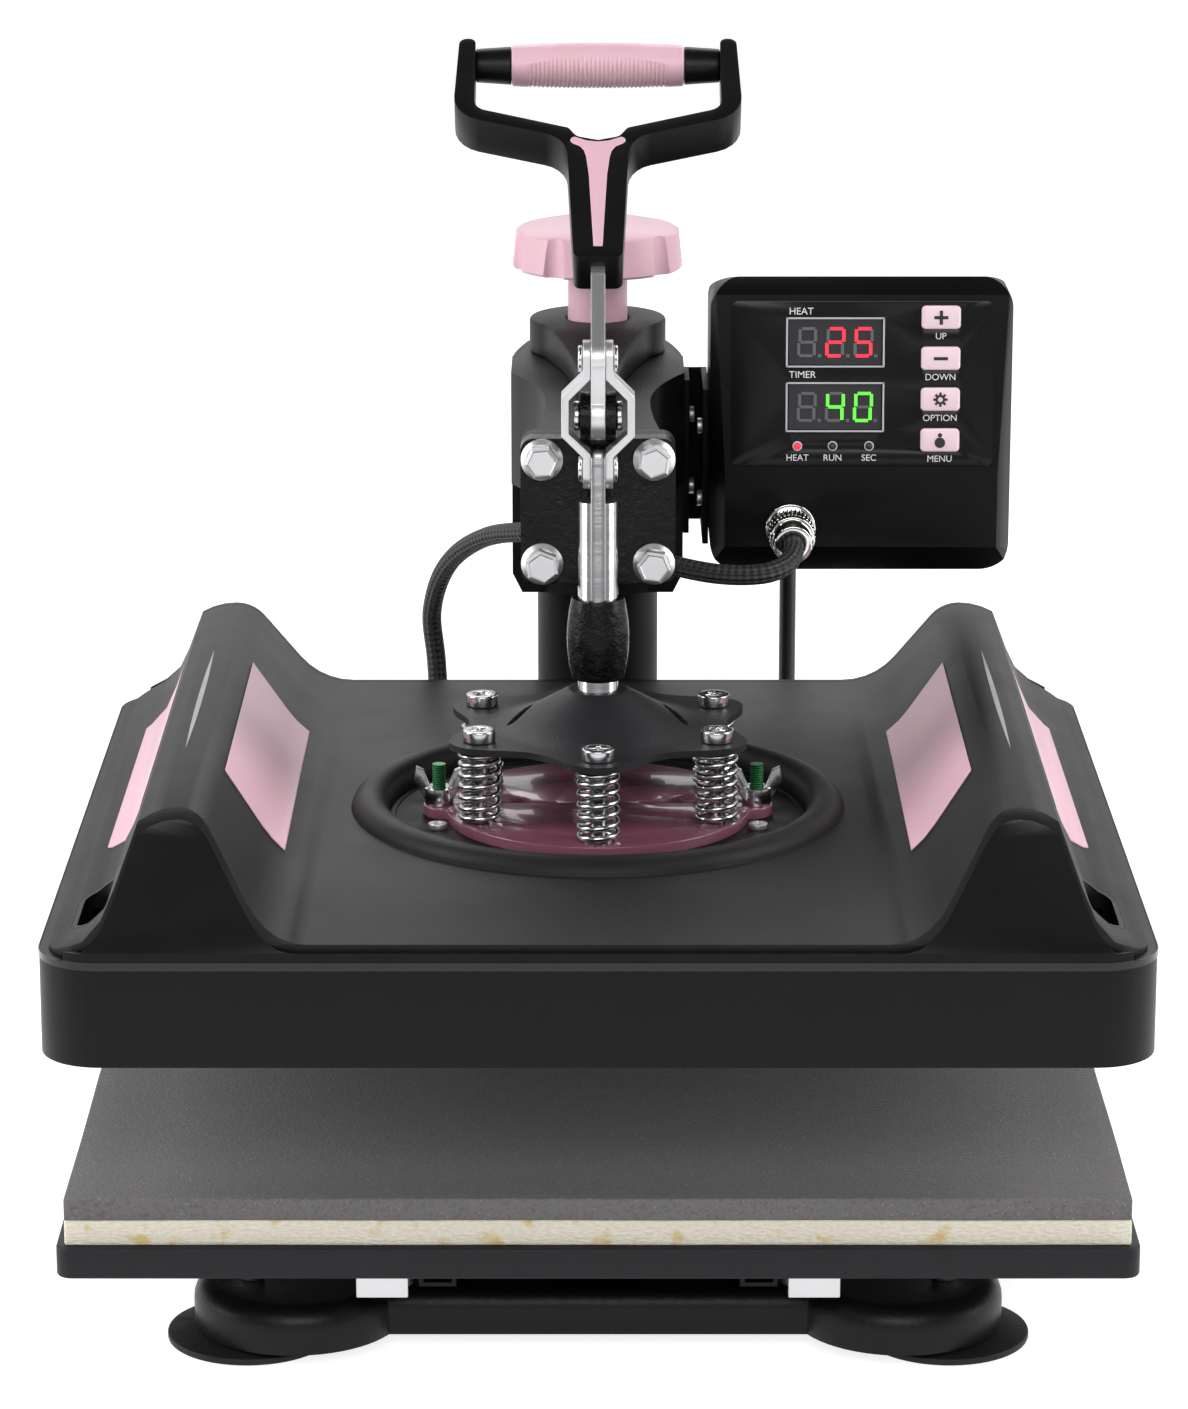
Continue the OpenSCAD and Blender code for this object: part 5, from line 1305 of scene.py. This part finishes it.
@dataclass
class Controller:
    """Case, panel, displays, buttons and connector."""

    shop: Workshop
    foot: Point = (105.0, 130.0, 223.0)
    fold_z: float = 41.0
    lean: float = 5.2
    overlay_t: float = 0.6
    button_x: float = 31.0
    button_first: float = 14.6
    button_pitch: float = 16.3
    button_top: float = 2.2
    display_x: float = -10.8
    display_b: tuple[float, float] = (27.7, 53.5)
    display_size: tuple[float, float] = (36.7, 18.0)
    lamp_x: tuple[float, float, float] = (-25.6, -11.6, 2.9)
    lamp_b: float = 12.2
    digit_half: float = 5.4
    digit_w: float = 6.2
    digit_pitch: float = 11.2
    digit_lean: float = 0.09
    bar_w: float = 1.25
    bar_t: float = 0.3
    bar_out: float = -0.1
    point_w: float = 1.4
    point_x: float = 5.0
    frame_w: float = 0.7
    frame_gap: tuple[float, float] = (0.85, 0.6)
    frame_out: float = 0.12
    letter_scale: float = 1.35
    ink_t: float = 0.04
    ink_out: float = 0.06
    sign_t: float = 0.25
    sign_out: float = 0.05
    sign_edge: float = 0.08
    sign_bar: tuple[float, float] = (5.6, 1.3)
    cog_r: float = 1.9
    cog_teeth: int = 8
    dots: tuple[tuple[float, float], ...] = ((2.1, -0.9), (0.85, 2.1))
    round_steps: int = 28
    lamp_ring: tuple[tuple[float, float], ...] = ((1.95, 0.0), (1.95, 0.35), (1.5, 0.5), (1.45, 0.0))
    lamp_dome: tuple[tuple[float, float], ...] = ((1.4, 0.0), (1.2, 0.35), (0.7, 0.6), (0.0, 0.7))
    plug_at: Point = (77.0, 118.0, 243.0)
    knurl_count: int = 36
    knurl_r: float = 9.0
    knurl_bar: Point = (0.7, 0.8, 9.0)
    keys: dict[str, str] = field(default_factory=lambda: {
        "button_mode": "mode_key", "button_setup": "setup_key",
        "button_minus": "minus_key", "button_plus": "plus_key"})

    def panel(self, x: float, b: float, out: float) -> Matrix:
        """Place on the leaning panel: across, up from the fold, and out of it."""
        across, deep, up = self.foot
        fold = Matrix.Translation(metres(across, deep, up + self.fold_z)) @ spun(90 - self.lean, "X")
        return fold @ moved(x, b, out)

    def digits(self, text: str, row: float, lit: Look, name: str) -> None:
        """Build the digits of one display.

        Args:
            text: Three characters, with spaces where a digit is dark.
            row: Height of the display up the panel.
            lit: Finish of a lit bar.
            name: Name of the pieces.
        """
        bright, dark = bmesh.new(), bmesh.new()
        half, wide, bar, thick = self.digit_half, self.digit_w, self.bar_w, self.bar_t
        for i, character in enumerate(text):
            middle = self.display_x + (i - 1) * self.digit_pitch
            for segment in Segment:
                across, up, stands = segment.value
                size = (bar, half - 0.5, thick) if stands else (wide - 1.0, bar, thick)
                lean = self.digit_lean * up * half
                spot = self.panel(middle + across * wide + lean, row + up * half, self.bar_out)
                block(size, 0.12, spot, dark if segment in DARK_BARS[character] else bright, steps=1)
            spot = self.panel(middle + self.point_x, row - half, self.bar_out)
            block((self.point_w, self.point_w, thick), 0.2, spot, dark, steps=1)
        self.shop.piece(name + "_lit", bright, lit, "arm")
        self.shop.piece(name + "_dark", dark, Look.UNLIT, "arm")

    def window(self, row: float, name: str) -> None:
        """Frame one display with a thin pale line."""
        shape = bmesh.new()
        line = self.frame_w
        across, up = (size + 2 * gap for size, gap in zip(self.display_size, self.frame_gap))
        for side in (1, -1):
            for x, b, size in ((0, side * up / 2, (across + line, line, self.bar_t)),
                               (side * across / 2, 0, (line, up + line, self.bar_t))):
                spot = self.panel(self.display_x + x, row + b, self.overlay_t + self.frame_out)
                block(size, self.sign_edge, spot, shape, steps=1)
        self.shop.piece(name, shape, Look.FRAME, "arm")

    def word(self, text: str, x: float, b: float, size: float, name: str) -> None:
        """Print one short word on the panel.

        Args:
            text: The word.
            x: Middle of the word across the panel.
            b: Middle of the word up the panel.
            size: Height of its letters in millimetres.
            name: Name of the piece.
        """
        curve = bpy.data.curves.new(name, "FONT")
        curve.body = text
        curve.size = size * MM * self.letter_scale
        curve.align_x = "CENTER"
        curve.align_y = "CENTER"
        curve.extrude = self.ink_t * MM
        made = bpy.data.objects.new(name + "_type", curve)
        bpy.context.scene.collection.objects.link(made)
        bpy.context.view_layer.update()
        mesh = bpy.data.meshes.new_from_object(made.evaluated_get(bpy.context.evaluated_depsgraph_get()))
        bpy.data.objects.remove(made)
        shape = bmesh.new()
        shape.from_mesh(mesh)
        bpy.data.meshes.remove(mesh)
        spot = self.panel(x, b, self.overlay_t + self.ink_out)
        bmesh.ops.transform(shape, matrix=spot, verts=shape.verts[:])
        self.shop.piece(name, shape, Look.PRINT, "arm")

    def marks(self) -> None:
        """Put the plain signs on the four buttons."""
        long, thin = self.sign_bar
        for row, (node, body) in enumerate(self.keys.items()):
            shape = bmesh.new()
            b = self.button_first + self.button_pitch * row
            spot = self.panel(self.button_x, b, self.button_top + self.sign_out)
            if node in ("button_plus", "button_minus"):
                block((long, thin, self.sign_t), self.sign_edge, spot, shape, steps=1)
            if node == "button_plus":
                block((thin, long, self.sign_t), self.sign_edge, spot, shape, steps=1)
            if node == "button_setup":
                cone(shape, self.round_steps, self.cog_r, self.cog_r, 0.2, spot, caps=False)
                bmesh.ops.solidify(shape, geom=shape.faces[:], thickness=0.9 * MM)
                for i in range(self.cog_teeth):
                    tooth = spot @ spun(360 * i / self.cog_teeth, "Z") @ moved(self.cog_r + 0.4, 0, 0)
                    block((1.1, 1.0, self.sign_t), self.sign_edge, tooth, shape, steps=1)
            if node == "button_mode":
                for radius, rise in self.dots:
                    cone(shape, self.round_steps, radius, radius, self.sign_t, spot @ moved(0, rise, 0))
            bmesh.ops.recalc_face_normals(shape, faces=shape.faces[:])
            mark = self.shop.piece(node + "_mark", shape, Look.MARK, body)

    def lamps(self) -> None:
        """Light the first of the three lamps and ring them all."""
        for i, x in enumerate(self.lamp_x):
            spot = self.panel(x, self.lamp_b, self.overlay_t)
            ring, dome = (turned(side, self.round_steps, spot) for side in (self.lamp_ring, self.lamp_dome))
            self.shop.piece(f"lamp_ring_{i}", ring, Look.FRAME, "arm")
            self.shop.piece(f"lamp_lens_{i}", dome, Look.WINDOW if i else Look.RED, "arm")

    def knurl(self) -> None:
        """Ring the connector with its knurled sleeve."""
        self.shop.dress("connector_plug", Look.NICKEL, 0.5)
        place = Matrix.Translation(metres(*self.plug_at)) @ spun(90, "X")
        bars = bmesh.new()
        for i in range(self.knurl_count):
            turn = spun(360 * i / self.knurl_count, "Z") @ moved(self.knurl_r, 0, 0)
            block(self.knurl_bar, 0.2, place @ turn, bars, steps=1)
        self.shop.piece("connector_knurl", bars, Look.NICKEL, "arm")

    def build(self) -> None:
        """Dress the controller."""
        self.shop.dress_all(("case_front", Look.CASE, 2.0, 3), ("case_back", Look.CASE, 2.0, 3),
                            ("display_overlay", Look.PANEL, 0.2))
        self.shop.paint("led_lights", Look.WINDOW)
        self.shop.paint("circuit_board", Look.BOARD)
        self.shop.dress("connector_socket", Look.NICKEL, 0.4)
        self.knurl()
        for node in self.keys:
            self.shop.dress(node, Look.PALE, 0.8, steps=3)
        lower, upper = self.display_b
        for name, text, row, lit in (("upper", " 25", upper, Look.RED), ("lower", " 40", lower, Look.LIME)):
            self.digits(text, row, lit, name + "_digits")
            self.window(row, name + "_window")
        self.lamps()
        self.marks()
        self.word("HEAT", -24.4, 65.8, 2.9, "word_heat")
        self.word("TIMER", -23.8, 40.6, 2.9, "word_timer")
        for text, x in zip(("HEAT", "RUN", "SEC"), self.lamp_x):
            self.word(text, x, 7.4, 2.7, "word_lamp_" + text.lower())
        for row, text in enumerate(("MENU", "OPTION", "DOWN", "UP")):
            b = self.button_first - 7.6 + self.button_pitch * row
            self.word(text, self.button_x, b, 2.7, f"word_key_{row}")


def main() -> None:
    """Build the press from its frame."""
    logging.basicConfig(level=logging.INFO, format="%(message)s")
    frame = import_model()
    shop = Workshop(frame)
    Studio().build()
    for part in (Leads(shop), Bed(shop), Arm(shop), Lever(shop), Head(shop), Controller(shop)):
        LOG.info("building %s", type(part).__name__)
        part.build()


if __name__ == "__main__":
    main()
